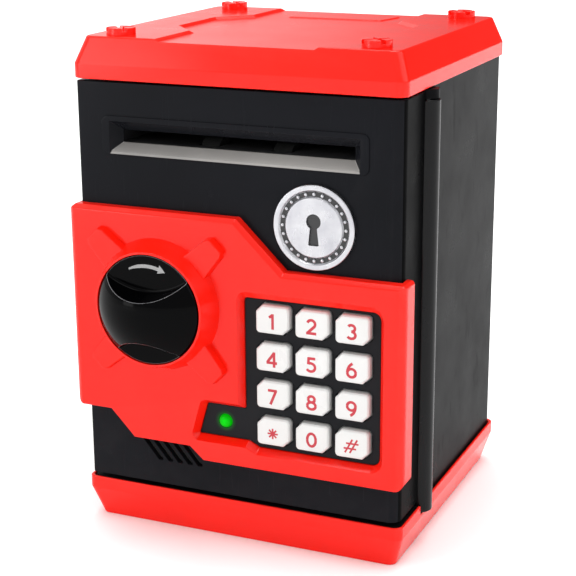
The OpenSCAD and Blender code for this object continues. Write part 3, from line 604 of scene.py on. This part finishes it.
def base_tray():
    """Red tray with a leaning side, a thin rim, screw posts and the hinge's lower seat."""
    lo, hi = box_mm("base_tray")
    bend, lean, rim, floor, seat_top = 11.6, 3.5, 1.0, 2.0, 12.8
    side = rect(lo.x, hi.x, lo.y, hi.y, 3.0)
    outer = soften([(lean + 6, 0), (lean, 0), (0, bend), (0, hi.z), (rim, hi.z), (rim, bend),
                    (rim + 2.9, floor), (rim + 12, floor)],
                   [0.5, 1.6, 0.45, 0.4, 1.0, 1.0], 4)
    tray = stack([(shrunk(side, p.x), p.y) for p in outer], along_z, "base_tray", seg=8)
    posts = [(x, y) for x in (-48, 48) for y in (-43, 43)]
    hinge = joint_mm("door_hinge")
    lean_in = lean * (1 - floor / bend)
    seat_x1 = hi.x - 0.4
    seat_line = rect(hinge.x - 6, seat_x1, hinge.y - 5, hinge.y + 5, 0.3)
    seat_low = rect(hinge.x - 6, seat_x1 - lean_in, hinge.y - 5, hinge.y + 5, 0.3)
    seat = stack([(seat_low, 1.0), (seat_low, floor), (seat_line, bend),
                  (seat_line, seat_top)], along_z, "seat", seg=2)
    add(tray, seat, *[turned([(4.5, 1.0), (4.5, 6.7), (4.2, 7.0)], p, along_z) for p in posts])
    counterbore = [(3.4, -0.5), (3.4, 0.0), (3.0, 0.35), (3.0, 4.5), (1.6, 4.5), (1.6, 8.0)]
    notch = block(hinge.x - 6, hi.x + 3, hinge.y - 5.2, hinge.y + 5.2, seat_top, hi.z + 2)
    pin = rod(hinge, 1.2, 9.6, 20, along_z)
    cut(tray, notch, pin, merged([turned(counterbore, p, along_z, steps=48) for p in posts]))
    piece(tray, "base", "cabinet", ["base_tray"], [RED])


def shrunk(corners, d):
    """A rectangle made smaller by d on each side; its corner radius only drops from d = 3."""
    (x0, y0, r), _, (x1, y1, _), _ = corners
    return rect(x0 + d, x1 - d, y0 + d, y1 - d, r if d < 3 else max(r - 0.3 * (d - 3), 1.2))


# ---- lid

def boss(centre, low, high, r):
    """Bolt-head boss with a cross slot across its top."""
    body = turned(soften([(0.001, low), (r, low), (r, high), (0.001, high)], [0.05, 0.35], 3),
                  centre, along_z, "boss", 72)
    slots = []
    half, deep = 0.95, 1.25
    for angle in (45, 135):
        slot_cut = block(-r - 2, r + 2, -half, half, high - deep, high + 1)
        turn = Matrix.Rotation(math.radians(angle), 4, "Z")
        slot_cut.data.transform(Matrix.Translation(Vector((*centre, 0)) * MM) @ turn)
        slots.append(slot_cut)
    return cut(body, *slots)


def cross_recess(half_x, reach_y, top, sink):
    """Cutter for the lid's sunk cross, with sloping walls that round over at the top."""
    side, inner_y, side_y = 42.0, 28.0, 15.0
    right = [(half_x, -reach_y), (half_x, -inner_y), (side, -side_y), (side, side_y),
             (half_x, inner_y), (half_x, reach_y)]
    corners = [(x, y, 0.9) for x, y in right] + [(-x, -y, 0.9) for x, y in right]
    slope = 1.7
    line = soften([(slope + 3, top - sink), (slope, top - sink), (0, top), (-2.5, top + 0.05)],
                  [0.4, 0.5], 3)
    return stack([(inset(corners, p.x), p.y) for p in line] + [(inset(corners, -2.5), top + 2)],
                 along_z, "recess", seg=4)


def top_lid():
    """Red lid with leaning sides, a sunk cross between raised pads, and four bosses."""
    lo, hi = box_mm("top_lid")
    top, bend, lean, wall, sink = 184.0, 174.4, 3.5, 1.8, 1.0
    side = rect(lo.x, hi.x, lo.y, hi.y, 3.6)
    shell = soften([(20, top - wall - sink), (wall + 2.6, top - wall - sink), (wall, bend),
                    (wall, lo.z), (0, lo.z), (0, bend), (lean, top), (lean + 8, top)],
                   [0.8, 1.0, 0.3, 0.45, 2.2, 0.9], 5)
    lid = stack([(shrunk(side, p.x), p.y) for p in shell], along_z, "top_lid", seg=10)
    cut(lid, cross_recess(31.0, hi.y + 8, top, sink))
    pad = [(-18, 32, 1), (21, 32, 1), (24, 47, 1), (7, 47, 1), (1, 43, 1), (-5, 47, 1),
           (-21, 47, 1)]
    low = top - sink
    raised = stack([(inset(pad, d), z) for d, z in ((0, low - 0.3), (0, low), (0.5, low + 0.3),
                                                    (0.8, low + 0.36))], along_z, "pad", seg=3)
    post_z = 171.2
    posts = [(x, y) for x in (-48, 48) for y in (-14, 43)]
    add(lid, raised, *[turned([(4.5, post_z), (4.5, low - 0.4)], p, along_z, steps=48)
                       for p in posts])
    cut(lid, merged([rod(p, 1.5, post_z - 1, lo.z + 11, along_z) for p in posts]))
    boss_r, boss_top = 5.25, hi.z - 0.9
    for x in (-48.5, 48.5):
        for y in (-47, 47):
            add(lid, boss((x, y), top - 0.4, boss_top, boss_r))
    piece(lid, "lid", "cabinet", ["top_lid"], [RED])


# ---- door

def door_shell():
    """Black door shell with a round front corner, the hinge barrel and its openings."""
    lo, hi = box_mm("door_shell")
    z0, x1 = 17.4, 62.0
    barrel_r, barrel_top, pin_r, pin_reach = 4.7, 165.2, 1.25, 4.3
    hinge = joint_mm("door_hinge")
    plan = [(lo.x, lo.y, 1.1), (x1, lo.y, 4.0), (x1, hi.y, 0.5), (lo.x, hi.y, 0.5)]
    rise = soften([(2, z0), (0, z0), (0, hi.z), (2, hi.z)], 0.5, 3)
    door = stack([(inset(plan, p.x), p.y) for p in rise], along_z, "door", seg=8)
    wall, face = 2.2, lo.y + 2.2
    room = block(lo.x + wall, x1 - wall, face, hi.y + 1, z0 + wall, hi.z - wall)
    corner = block(x1 - 8, x1 + 1, hinge.y - 5, hi.y + 1, barrel_top, hi.z + 1)
    cut(door, room, corner)
    barrel = turned(soften([(0.001, lo.z), (barrel_r, lo.z), (barrel_r, barrel_top),
                            (0.001, barrel_top)], 0.5, 3), hinge, along_z, "barrel", 64)
    cover_y = hi.y - wall
    posts = [(-56, 23.2), (53, 23.2), (-56, 111), (53, 106), (-56, 162.5), (53, 162.5)]
    add(door, barrel, *[rod(p, 3.0, face - 0.5, cover_y, along_y) for p in posts])
    pins = [rod(hinge, pin_r, lo.z - 1, lo.z + pin_reach, along_z),
            rod(hinge, pin_r, barrel_top - pin_reach, 170, along_z)]
    holes = [rod(p, 1.1, hi.y - 14, hi.y, along_y) for p in posts]
    cut(door, merged(pins + holes))
    keys_lo, keys_hi = box_mm("key_star")[0], box_mm("key_3")[1]
    dial = joint_mm("dial_turn")
    front = lo.y - 1
    badge_lo, badge_hi = box_mm("emblem_badge")
    badge = (badge_lo + badge_hi) / 2
    slot_lo, slot_hi = box_mm("note_slot_frame")
    openings = [block(keys_lo.x - 1.6, keys_hi.x + 1.7, front, face + 1,
                      keys_lo.z - 0.6, keys_hi.z + 0.2),
                rod((dial.x, dial.z), 3.4, front, face + 1, along_y),
                rod((LED.x, LED.z), 2.7, front, face + 1, along_y),
                rod((badge.x - PEG_X, badge.z), PEG_R, front, face + 1, along_y),
                rod((badge.x + PEG_X, badge.z), PEG_R, front, face + 1, along_y),
                block(slot_lo.x + TUNNEL_SIDE, slot_hi.x - TUNNEL_SIDE, front, face + 1,
                      *TUNNEL_Z)]
    speaker_lo, speaker_hi = box_mm("speaker")
    speaker = (speaker_lo + speaker_hi) / 2
    shift, pitch = 2.3, 4.1
    for i in range(-2, 3):
        x, z = speaker.x + shift + pitch * i, speaker.z
        slant = [(x - 0.3, z - 4.5, 0.5), (x + 2.1, z - 4.5, 0.5), (x - 5.1, z + 4.2, 0.5),
                 (x - 7.5, z + 4.2, 0.5)]
        line = soften([(0, face + 1), (0, lo.y), (-0.6, lo.y - 0.02)], 0.3, 3)
        openings.append(stack([(inset(slant, p.x), p.y) for p in line], along_y, "slot", seg=3))
    cut(door, merged(openings))
    # faces that look towards the hinge side take the darker copy of the black: painted shade
    plain, round_barrel, shaded_side = range(3)
    for p in door.data.polygons:
        reach = (p.center / MM - hinge).xy.length
        side = shaded_side if p.normal.x > 0.8 else plain
        p.material_index = round_barrel if reach < barrel_r + 0.1 else side
    piece(door, "door", "door", ["door_shell"], [BLACK, BARREL, DOOR_SIDE_SHADE])


# ---- fascia

FASCIA = [(-62.5, 46.8, 1.2), (-50, 46.8, 0.6), (-40.5, 36.8, 0.6), (-17.5, 36.8, 0.6),
          (-12, 32, 0.6), (65, 32, 3.2), (65, 106.5, 1.6), (20, 106.5, 0.6), (2, 124, 0.8),
          (-62.5, 124, 0.5), (-65, 121.5, 0.5), (-65, 49.3, 1.2)]
FASCIA_SLOPED = (6, 7, 8)  # edges that slope down to the front: the three upper ones
WINDOW = [(-14.6, 41.5, 0.5), (5.5, 41.5, 0.6), (9.5, 39.5, 0.6), (55.7, 39.5, 3.0),
          (55.7, 95.7, 3.0), (4.2, 95.7, 1.3), (4.2, 54, 0.3), (-11, 54, 0.8)]
WINDOW_TOP = 4  # the window's upper edge


def fascia_panel():
    """Red fascia: sloped upper edges, wrapped sides, keypad window, dial collar and ribs."""
    lo, hi = box_mm("fascia_panel")
    front, back, skirt = -62.0, DOOR_FRONT, hi.y
    rounds, inner = 3.3, 62.2
    plan = [(lo.x, skirt, 0.3), (lo.x, front, rounds), (hi.x, front, rounds),
            (hi.x, skirt, 0.3), (inner, skirt, 0.3), (inner, back, 0.2), (-inner, back, 0.2),
            (-inner, skirt, 0.3)]
    fascia = stack([(plan, lo.z - 2), (plan, hi.z + 2)], along_z, "fascia", seg=10)
    steps = [(0, 0, skirt + 1), (0, 0, -60.1), (0.05, 0, -60.3), (0.17, 0, -60.5),
             (1.1, 0.0, -61.55), (1.24, 0.04, -61.72), (1.42, 0.13, -61.86),
             (1.62, 0.26, -61.96), (1.85, 0.42, front)]
    sections = []  # a step is (inset on sloped edges, on the others, Y)
    for slope, small, y in steps:
        by = [slope if i in FASCIA_SLOPED else small for i in range(len(FASCIA))]
        sections.append((inset(FASCIA, by), y))
    sections.append((sections[-1][0], front - 1))
    boolean(fascia, [stack(sections, along_y, "face", seg=6)], "INTERSECT")
    dial = joint_mm("dial_turn")
    axis = (dial.x, dial.z)
    crest, foot, bore = 21.2, 24.5, 20.4
    collar = turned(soften([(6, back + 0.6), (foot, back + 0.6), (foot, front),
                            (crest, DIAL_RIM), (bore, DIAL_RIM), (bore, -60.5), (6, -60.5)],
                           [0.01, 0.01, 0.35, 0.15, 0.1], 4), axis, along_y, "collar", 128)
    ribs = [rib(axis, angle, front) for angle in (45, 135, 225, 315)]
    add(fascia, collar, *ribs)
    pocket = turned([(bore, DIAL_RIM - 2), (bore, -60.0)], axis, along_y, "pocket", 128)
    by = [-1.9] * len(WINDOW)  # how far the window's rim opens out, more at its top
    by[WINDOW_TOP] = -2.8
    line = soften([(0, back + 1), (0, -59.2), (1, front), (1.22, front - 0.03)], [0.4, 0.45], 4)
    opening = stack([(inset(WINDOW, [b * p.x for b in by]), p.y) for p in line]
                    + [(inset(WINDOW, [b * 1.22 for b in by]), front - 2)],
                    along_y, "window", seg=6)
    cut(fascia, pocket, opening, rod(axis, 3.05, front - 1, back + 1, along_y, 48))
    piece(fascia, "fascia", "door", ["fascia_panel"], [RED])


def rib(axis, angle, front):
    """One tapering rib beside the dial, with softened upper edges."""
    corners = [(17, -6.6, 0.5), (33.2, -4.5, 0.8), (35.2, -3.2, 0.8), (35.2, 3.2, 0.8),
               (33.2, 4.5, 0.8), (17, 6.6, 0.5)]
    line = soften([(0, front + 0.8), (0, front), (0.55, front - 3.0), (2.2, front - 3.0)],
                  [0.05, 0.45], 4)
    rings = []
    turn = Matrix.Rotation(math.radians(angle), 2)
    for p in line:
        ring = [turn @ q for q in outline(inset(corners, p.x), 4)]
        rings.append([(axis[0] + q.x, p.y, axis[1] + q.y) for q in ring])
    return loft(rings, "rib")


# ---- keypad

def key_corners(centre):
    """A key's outline: two chamfered and two rounded corners."""
    lo, hi = box_mm("key_1")
    w, h = (hi.x - lo.x) / 2 - 0.75, (hi.z - lo.z) / 2 - 0.75
    x, z = centre
    return [(x - w, z - h, 1.5), (x + w - 2.5, z - h, 0.7), (x + w, z - h + 2.5, 0.7),
            (x + w, z + h, 1.5), (x - w + 2.5, z + h, 0.7), (x - w, z + h - 2.5, 0.7)]


def ribbon(points, width):
    """A line's outline at a constant width, as one polygon."""
    left, right = [], []
    for i, p in enumerate(points):
        a, b = points[max(i - 1, 0)], points[min(i + 1, len(points) - 1)]
        d = (b - a).normalized() * width / 2
        left.append(p + Vector((-d.y, d.x)))
        right.append(p - Vector((-d.y, d.x)))
    return right + left[::-1]


def strokes(name):
    """Centre lines of one key's mark, about 5 mm high, round the key's centre."""
    def line(*points):
        return [Vector(p) for p in points]

    h = 2.4
    full = {
        "0": [arc(0, 0, 1.62, h, 0, 180), arc(0, 0, 1.62, h, 180, 360)],
        "1": [line((0.35, -h - 0.45), (0.35, h + 0.45)), line((-1.0, 1.45), (0.3, 2.45))],
        "2": [arc(0, 1.0, 1.45, 1.4, 165, -38) + line((-1.5, -h)),
              line((-1.95, -h), (1.85, -h))],
        "3": [arc(-0.15, 1.28, 1.3, 1.14, 150, -90), arc(-0.2, -1.15, 1.55, 1.28, 90, -150)],
        "4": [line((0.8, -h - 0.45), (0.8, h + 0.45)), line((0.75, h), (-1.85, -1.1)),
              line((-2.15, -1.2), (1.95, -1.2))],
        "5": [line((1.5, h), (-1.15, h)), line((-1.0, h + 0.4), (-1.15, 0.2)),
              arc(-0.25, -0.85, 1.65, 1.52, 122, -150)],
        "6": [arc(0, -0.9, 1.55, 1.5, 0, 180), arc(0, -0.9, 1.55, 1.5, 180, 360),
              arc(1.55, -0.9, 3.1, 3.75, 180, 112)],
        "7": [line((-1.7, h), (1.75, h)), line((1.5, h + 0.2), (-0.75, -h - 0.45))],
        "8": [arc(0, 1.3, 1.22, 1.12, 0, 180), arc(0, 1.3, 1.22, 1.12, 180, 360),
              arc(0, -1.13, 1.58, 1.3, 0, 180), arc(0, -1.13, 1.58, 1.3, 180, 360)],
        "9": [arc(0, 0.9, 1.55, 1.5, 0, 180), arc(0, 0.9, 1.55, 1.5, 180, 360),
              arc(-1.55, 0.9, 3.1, 3.75, 0, -68)],
        "hash": [line((-2.3, -2.6), (0.5, 2.6)), line((-0.5, -2.6), (2.3, 2.6)),
                 line((-1.9, 0.95), (2.8, 0.95)), line((-2.8, -0.95), (1.9, -0.95))],
        "star": [line((math.cos(a) * -2, math.sin(a) * -2), (math.cos(a) * 2, math.sin(a) * 2))
                 for a in (0, math.pi / 4, math.pi / 2, math.pi * 3 / 4)],
    }
    return full[name]


def key_cap(name, lo, hi):
    """White key with soft bevels and its mark printed into the front face."""
    centre = middle_xz(lo, hi)
    corners = key_corners(centre)
    front, back = lo.y, hi.y
    side = soften([(0, back - 0.8), (0, front + 0.9), (0.5, front + 0.12), (1.15, front)],
                  [0.5, 0.5], 4)
    sections = [(inset(corners, -0.75), back), (inset(corners, -0.75), back - 0.8)]
    sections += [(inset(corners, p.x), p.y) for p in side]
    rings = [[Vector((p.x, at, p.y)) for p in outline(c, 4)] for c, at in sections]
    bm = bmesh.new()
    rows = walls(bm, rings)
    bm.faces.new(rows[0])
    verts = [Vector((p.x, p.z)) for p in rings[-1]]
    faces = [list(range(len(verts)))]
    width = 0.66 if name in ("star", "hash") else 1.02
    offset = Vector((centre[0], centre[1] - 0.45))
    for shape in [ribbon(line, width) for line in strokes(name)]:
        faces.append(list(range(len(verts), len(verts) + len(shape))))
        verts += [p + offset for p in shape]
    flat, _, tris, _, _, owners = delaunay_2d_cdt(verts, [], faces, 1, 1e-5)
    flat = [bm.verts.new((p.x, front, p.y)) for p in flat]
    for tri, owner in zip(tris, owners):
        face = bm.faces.new([flat[i] for i in tri])
        face.material_index = 1 if any(o > 0 for o in owner) else 0  # 0 is the cap's outline
    return to_object(bm, "key")


def keypad():
    """The keys, the black bezel with their wells, and the green lamp."""
    wells = []
    bezel_lo, bezel_hi = box_mm("keypad_bezel")
    front = bezel_lo.y
    for node in sorted(NODES):
        if not node.startswith("key_"):
            continue
        lo, hi = box_mm(node)
        cap = key_cap(node[4:], lo, hi)
        piece(cap, "cap_" + node[4:], node, [node], [KEY, KEY_MARK])
        well = inset(key_corners(middle_xz(lo, hi)), -0.4)
        line = soften([(0, bezel_hi.y + 1), (0, front), (-1, front - 0.02)], 0.45, 4)
        wells.append(stack([(inset(well, p.x), p.y) for p in line]
                           + [(inset(well, -1), front - 1)], along_y, "well", seg=4))
    line = soften([(0.15, bezel_hi.y), (0.15, front), (1.2, front)], 0.3, 3)
    bezel = stack([(inset(WINDOW, p.x), p.y) for p in line], along_y, "bezel", seg=6)
    hole = turned([(2.6, bezel_hi.y + 1), (2.6, front + 0.3), (2.9, front), (3.0, front - 0.5)],
                  (LED.x, LED.z), along_y, "lamp_hole", 48)
    # neighbouring wells' flared rims may meet, so each well is cut on its own
    cut(bezel, hole, *wells)
    piece(bezel, "bezel", "door", ["keypad_bezel"], [BEZEL])
    lens = turned(soften([(0.001, led_hi.y - 1), (3.0, led_hi.y - 1), (3.0, led_lo.y + 4),
                          (2.5, led_lo.y + 4), (2.5, led_lo.y + 0.9), (2.0, led_lo.y - 0.4),
                          (0.001, led_lo.y - 0.9)], [0.1, 0.1, 0.1, 0.8, 1.6], 6),
                  (LED.x, LED.z), along_y, "lamp", 48)
    piece(lens, "lamp", "door", ["status_led"], [LENS], 60)


# ---- dial

# the knob's finger scoops: height of each one's axis over the dial's, and its radius
SCOOPS = ((35.0, 30.4), (-33.5, 23.8))


def dome_y(r, rim, apex, radius):
    """Y of the knob's dome at a distance from its axis."""
    big = (radius ** 2 + (rim - apex) ** 2) / (2 * (rim - apex))
    return apex + big - math.sqrt(max(big ** 2 - r ** 2, 0))


def dial_knob():
    """Black dial: a dome with two finger scoops and a grip bar left between them."""
    lo, hi = box_mm("dial_knob")
    dial = joint_mm("dial_turn")
    axis = (dial.x, dial.z)
    radius, rim, apex = 20.0, DIAL_RIM, lo.y
    scoop_floor, outside = -69.7, -81
    dome = [radius * math.sin(math.radians(90 * k / 40)) for k in range(40, -1, -1)]
    profile = [(0.001, hi.y), (19.4, hi.y), (radius, hi.y - 0.5), (radius, rim + 0.6),
               (radius - 0.04, rim + 0.25), (radius - 0.14, rim)]
    profile += [(r, dome_y(r, rim, apex, radius)) for r in dome if r < radius - 0.35]
    knob = turned([Vector(p) for p in profile], axis, along_y, "knob", 160)
    for z, wide in SCOOPS:
        bowl = soften([(0, scoop_floor), (wide - 2.2, scoop_floor), (wide, outside)], [1.0], 8)
        centre = (axis[0], axis[1] + z)
        cut(knob, turned(bowl, centre, along_y, "scoop", 240))
    # the bevelled edges take the light grey second material: a painted highlight along the rim and the scoops'
    # edges
    soft = bevel(knob, TINY_EDGE, 1, 24)
    soft.material, soft.use_clamp_overlap = 1, False
    piece(knob, "knob", "dial", ["dial_knob"], [KNOB, KNOB_EDGE_HIGHLIGHT], 40)

    arrow(axis, scoop_floor)


def arrow(axis, floor):
    """Plain curved arrow printed in the upper scoop."""
    radius, half, head_half = 16.2, 0.65, 1.6
    tail, neck, tip = 116, 73, 63  # angles in degrees
    front, back = -0.06, 0.12
    line = [(tail + (neck - tail) * k / 24, half * (0.45 + 0.55 * min(k / 8, 1)))
            for k in range(25)]
    line += [(neck + (tip - neck) * k / 8, head_half * (1 - k / 8) + 0.02) for k in range(9)]
    rows = [[(radius + d * w, math.radians(a)) for d in (-1, -0.5, 0, 0.5, 1)]
            for a, w in line]
    bm = bmesh.new()
    layers = []
    for lift in (front, back):
        grid = []
        for row in rows:
            line = []
            for r, a in row:
                x, z = axis[0] + r * math.cos(a), axis[1] + r * math.sin(a)
                line.append(bm.verts.new((x, floor + lift, z)))
            grid.append(line)
        layers.append(grid)
    for grid in layers:
        for i in range(len(grid) - 1):
            for j in range(4):
                bm.faces.new((grid[i][j], grid[i + 1][j], grid[i + 1][j + 1], grid[i][j + 1]))
    upper, lower = layers
    n = len(rows)
    rim = [(i, 0) for i in range(n)] + [(n - 1, j) for j in range(1, 5)]
    rim += [(i, 4) for i in range(n - 2, -1, -1)] + [(0, j) for j in range(3, 0, -1)]
    for (a, b), (c, d) in zip(rim, rim[1:] + rim[:1]):
        bm.faces.new((upper[a][b], upper[c][d], lower[c][d], lower[a][b]))
    mark = to_object(bm, "arrow")
    piece(mark, "dial_arrow", "dial", [], [GREY_INK], 40)


# ---- badge and slot

def badge():
    """Plated round badge: raised rim, bead ring, and a keyhole boss in the middle."""
    lo, hi = box_mm("emblem_badge")
    centre = middle_xz(lo, hi)
    r, front, back = (hi.x - lo.x) / 2, lo.y, DOOR_FRONT
    beads_n, bead_ring = 24, r - 3.25
    disc = turned(soften([(0.001, back), (r, back), (r, front), (r - 1.8, front),
                          (r - 2.3, front + 0.75), (r - 4.2, front + 0.75), (r - 4.6, front + 0.1),
                          (3.0, front), (0.001, front)],
                         [0.05, 0.4, 0.3, 0.2, 0.2, 0.3, 0.1], 3),
                  centre, along_y, "badge", 128)
    beads = []
    for k in range(beads_n):
        a = 2 * math.pi * k / beads_n
        c = (centre[0] + bead_ring * math.cos(a), centre[1] + bead_ring * math.sin(a))
        beads.append(turned(soften([(0.001, front + 0.9), (0.62, front + 0.9),
                                    (0.62, front + 0.35), (0.001, front + 0.15)],
                                   [0.05, 0.3], 3), c, along_y, "bead", 16))
    add(disc, merged(beads))
    hole = turned([(2.9, front - 1), (2.7, front), (2.6, front + 0.8)],
                  (centre[0], centre[1] + 2.2), along_y, "hole", 48)
    stem = [(centre[0] - 1.9, centre[1] - 6.2, 0.4), (centre[0] + 1.9, centre[1] - 6.2, 0.4),
            (centre[0] + 1.0, centre[1] + 1.5, 0.2), (centre[0] - 1.0, centre[1] + 1.5, 0.2)]
    slot_cut = stack([(inset(stem, -0.1), front - 1), (inset(stem, -0.1), front),
                      (stem, front + 0.8)], along_y, "stem", seg=3)
    pegs = [rod((centre[0] + x, centre[1]), PEG_R, back - 0.2, hi.y, along_y)
            for x in (-PEG_X, PEG_X)]
    cut(disc, hole, slot_cut)
    add(disc, *pegs)
    for p in disc.data.polygons:
        floor = p.center.y > (front + 0.55) * MM and p.center.y < (back - 0.2) * MM
        flat = abs(p.normal.y) > 0.9
        p.material_index = 1 if floor and flat else 0
    piece(disc, "badge", "door", ["emblem_badge"], [BADGE, BADGE_DARK])


def slot_frame():
    """Black frame whose funnel leads a note or a coin into the slot."""
    lo, hi = box_mm("note_slot_frame")
    front, back = lo.y, hi.y
    rim = rect(lo.x, hi.x, lo.z, hi.z, 2.5)
    tunnel = rect(lo.x + TUNNEL_SIDE, hi.x - TUNNEL_SIDE, *TUNNEL_Z, 0.4)
    line = soften([(0, DOOR_FRONT), (0, front), (1.2, front)], 0.28, 4)
    slot_box = stack([(tunnel, back), (tunnel, DOOR_FRONT - 0.3)], along_y, "tunnel", seg=5)
    body = stack([(inset(rim, p.x), p.y) for p in line], along_y, "frame", seg=8)
    add(body, slot_box)
    mouth = rect(lo.x + TUNNEL_SIDE, hi.x - TUNNEL_SIDE, 142.8, 154.6, 0.35)
    slot = rect(lo.x + 6.5, hi.x - 6.5, 146.4, 151.0, 0.35)
    flare = inset(mouth, -0.35)
    # the throat keeps the funnel's wall over the edge of the door's own hole
    throat = rect(lo.x + 3.5, hi.x - 3.5, TUNNEL_Z[0] + 0.05, 154.2, 0.35)
    steps = [(slot, back + 1), (slot, back - 0.6), (throat, DOOR_FRONT + 0.05), (mouth, front),
             (flare, front - 0.5)]
    cut(body, stack(steps, along_y, "funnel", seg=3))
    # the funnel's upward faces near its floor take the light grey: a painted reflection of the light above
    for p in body.data.polygons:
        low = p.normal.z > 0.4 and p.center.z < 147 * MM
        sill = low and front < p.center.y / MM < back
        p.material_index = 1 if sill else 0
    piece(body, "slot_frame", "door", ["note_slot_frame"], [BLACK, SILL_REFLECTION])


# ---- carried-over CAD nodes

SOFT_EDGE = {"cash_box": 0.45, "door_back_cover": 0.35, "latch_housing": 0.3,
             "feed_chassis": 0.25, "battery_box": 0.25}
FLAT_COVERS = ("door_back_cover", "latch_housing")  # their coplanar triangles are merged
UNBEVELLED = ("plunger_spring", "drive_gear", "motor_pinion", "latch_pinion")


def carried_nodes():
    """Softened edges and a real material on each CAD node that still shows."""
    slots = {s["node"]: s["material_slot"] for s in frame["record"]["subparts"]}
    for name, obj in NODES.items():
        if obj.hide_render:
            continue
        material = NODE_MATERIAL.get(name, SLOT_MATERIAL[slots[name]])
        obj.data.materials.clear()
        obj.data.materials.append(material)
        weld = obj.modifiers.new("weld", "WELD")
        weld.merge_threshold = 2e-6
        if name in FLAT_COVERS:
            flat = obj.modifiers.new("flat", "DECIMATE")
            flat.decimate_type, flat.angle_limit = "DISSOLVE", math.radians(0.5)
        if name not in UNBEVELLED:
            bevel(obj, SOFT_EDGE.get(name, TINY_EDGE), 2, 35)
        flatten_shading(obj, False)


# ---- stage

def area_light(name, place, target, size, watts):
    """A rectangular softbox at a place in millimetres, aimed at a target."""
    data = bpy.data.lights.new(name, "AREA")
    data.shape, data.size, data.size_y = "RECTANGLE", size[0] * MM, size[1] * MM
    data.energy = watts
    light = placed(name, data)
    light.location = Vector(place) * MM
    light.rotation_euler = (Vector(target) - Vector(place)).to_track_quat("-Z", "Y").to_euler()


def soft_sun(name, towards, strength, width):
    """A very soft light from one direction, as wide as the angle given in degrees."""
    data = bpy.data.lights.new(name, "SUN")
    data.energy, data.angle = strength, math.radians(width)
    placed(name, data).rotation_euler = Vector(towards).to_track_quat("Z", "Y").to_euler()


def studio_world(light, dark, card):
    """White surroundings with one soft dark card behind, hidden from the camera itself."""
    world = bpy.data.worlds.new("studio")
    world.use_nodes = True
    tree = world.node_tree
    facing = tree.nodes.new("ShaderNodeVectorMath")
    facing.operation = "DOT_PRODUCT"
    facing.inputs[1].default_value = Vector(card).normalized()
    tree.links.new(tree.nodes.new("ShaderNodeTexCoord").outputs["Generated"], facing.inputs[0])
    fall = tree.nodes.new("ShaderNodeMapRange")
    fall.interpolation_type = "SMOOTHSTEP"
    card_edge, card_middle = 0.68, 0.9
    for i, value in enumerate((card_edge, card_middle, light, dark), 1):
        fall.inputs[i].default_value = value
    tree.links.new(facing.outputs["Value"], fall.inputs[0])
    plain = tree.nodes.new("ShaderNodeMath")
    plain.operation = "MAXIMUM"
    tree.links.new(fall.outputs[0], plain.inputs[0])
    tree.links.new(tree.nodes.new("ShaderNodeLightPath").outputs["Is Camera Ray"],
                   plain.inputs[1])
    tree.links.new(plain.outputs[0], tree.nodes["Background"].inputs["Strength"])
    tree.nodes["Background"].inputs["Color"].default_value = (1, 1, 1, 1)
    bpy.context.scene.world = world


def stage():
    """Plain white floor, soft studio light and the camera."""
    bm = bmesh.new()
    bmesh.ops.create_grid(bm, x_segments=8, y_segments=8, size=4000)
    floor = to_object(bm, "floor")
    s = Shader("floor_paper")
    s.colour(s.mix(s.remap(s.noise(6.0), 0.3, 0.7, 0, 1), (0.93, 0.93, 0.93), (0.95, 0.95, 0.95)))
    s.roughness(s.remap(s.noise(300.0), 0.3, 0.7, 0.75, 0.85))
    s.bump([(s.noise(900.0), 0.1, 0.0002)])
    s.set(Specular_IOR_Level=0.1)
    floor.data.materials.append(s.material)

    studio_world(light=0.9, dark=0.1, card=(0.25, 0.93, 0.2))
    soft_sun("top_light", (-0.03, 0.15, 1.0), 2.3, 45)
    soft_sun("right_light", (1.0, 0.1, 0.75), 0.75, 50)
    area_light("front_left", (-620, -760, 330), (0, 0, 100), (300, 620), 2.4)
    bpy.context.scene.view_settings.view_transform = "Standard"

    azimuth, elevation, roll = (math.radians(a) for a in (23.62, 16.39, -0.35))
    target, distance = Vector((-4.77, 0, 81.86)), 589.6
    away = Vector((math.sin(azimuth) * math.cos(elevation),
                   -math.cos(azimuth) * math.cos(elevation), math.sin(elevation)))
    data = bpy.data.cameras.new("camera")
    data.lens, data.sensor_width = 94.07, 36
    data.clip_start, data.clip_end = 0.01, 50
    camera = placed("camera", data)
    camera.location = (target + away * distance) * MM
    aim = (-away).to_track_quat("-Z", "Y").to_matrix()
    camera.rotation_euler = (aim @ Matrix.Rotation(roll, 3, "Z")).to_euler()
    bpy.context.scene.camera = camera


stage()
base_tray()
top_lid()
door_shell()
fascia_panel()
keypad()
dial_knob()
badge()
slot_frame()
carried_nodes()
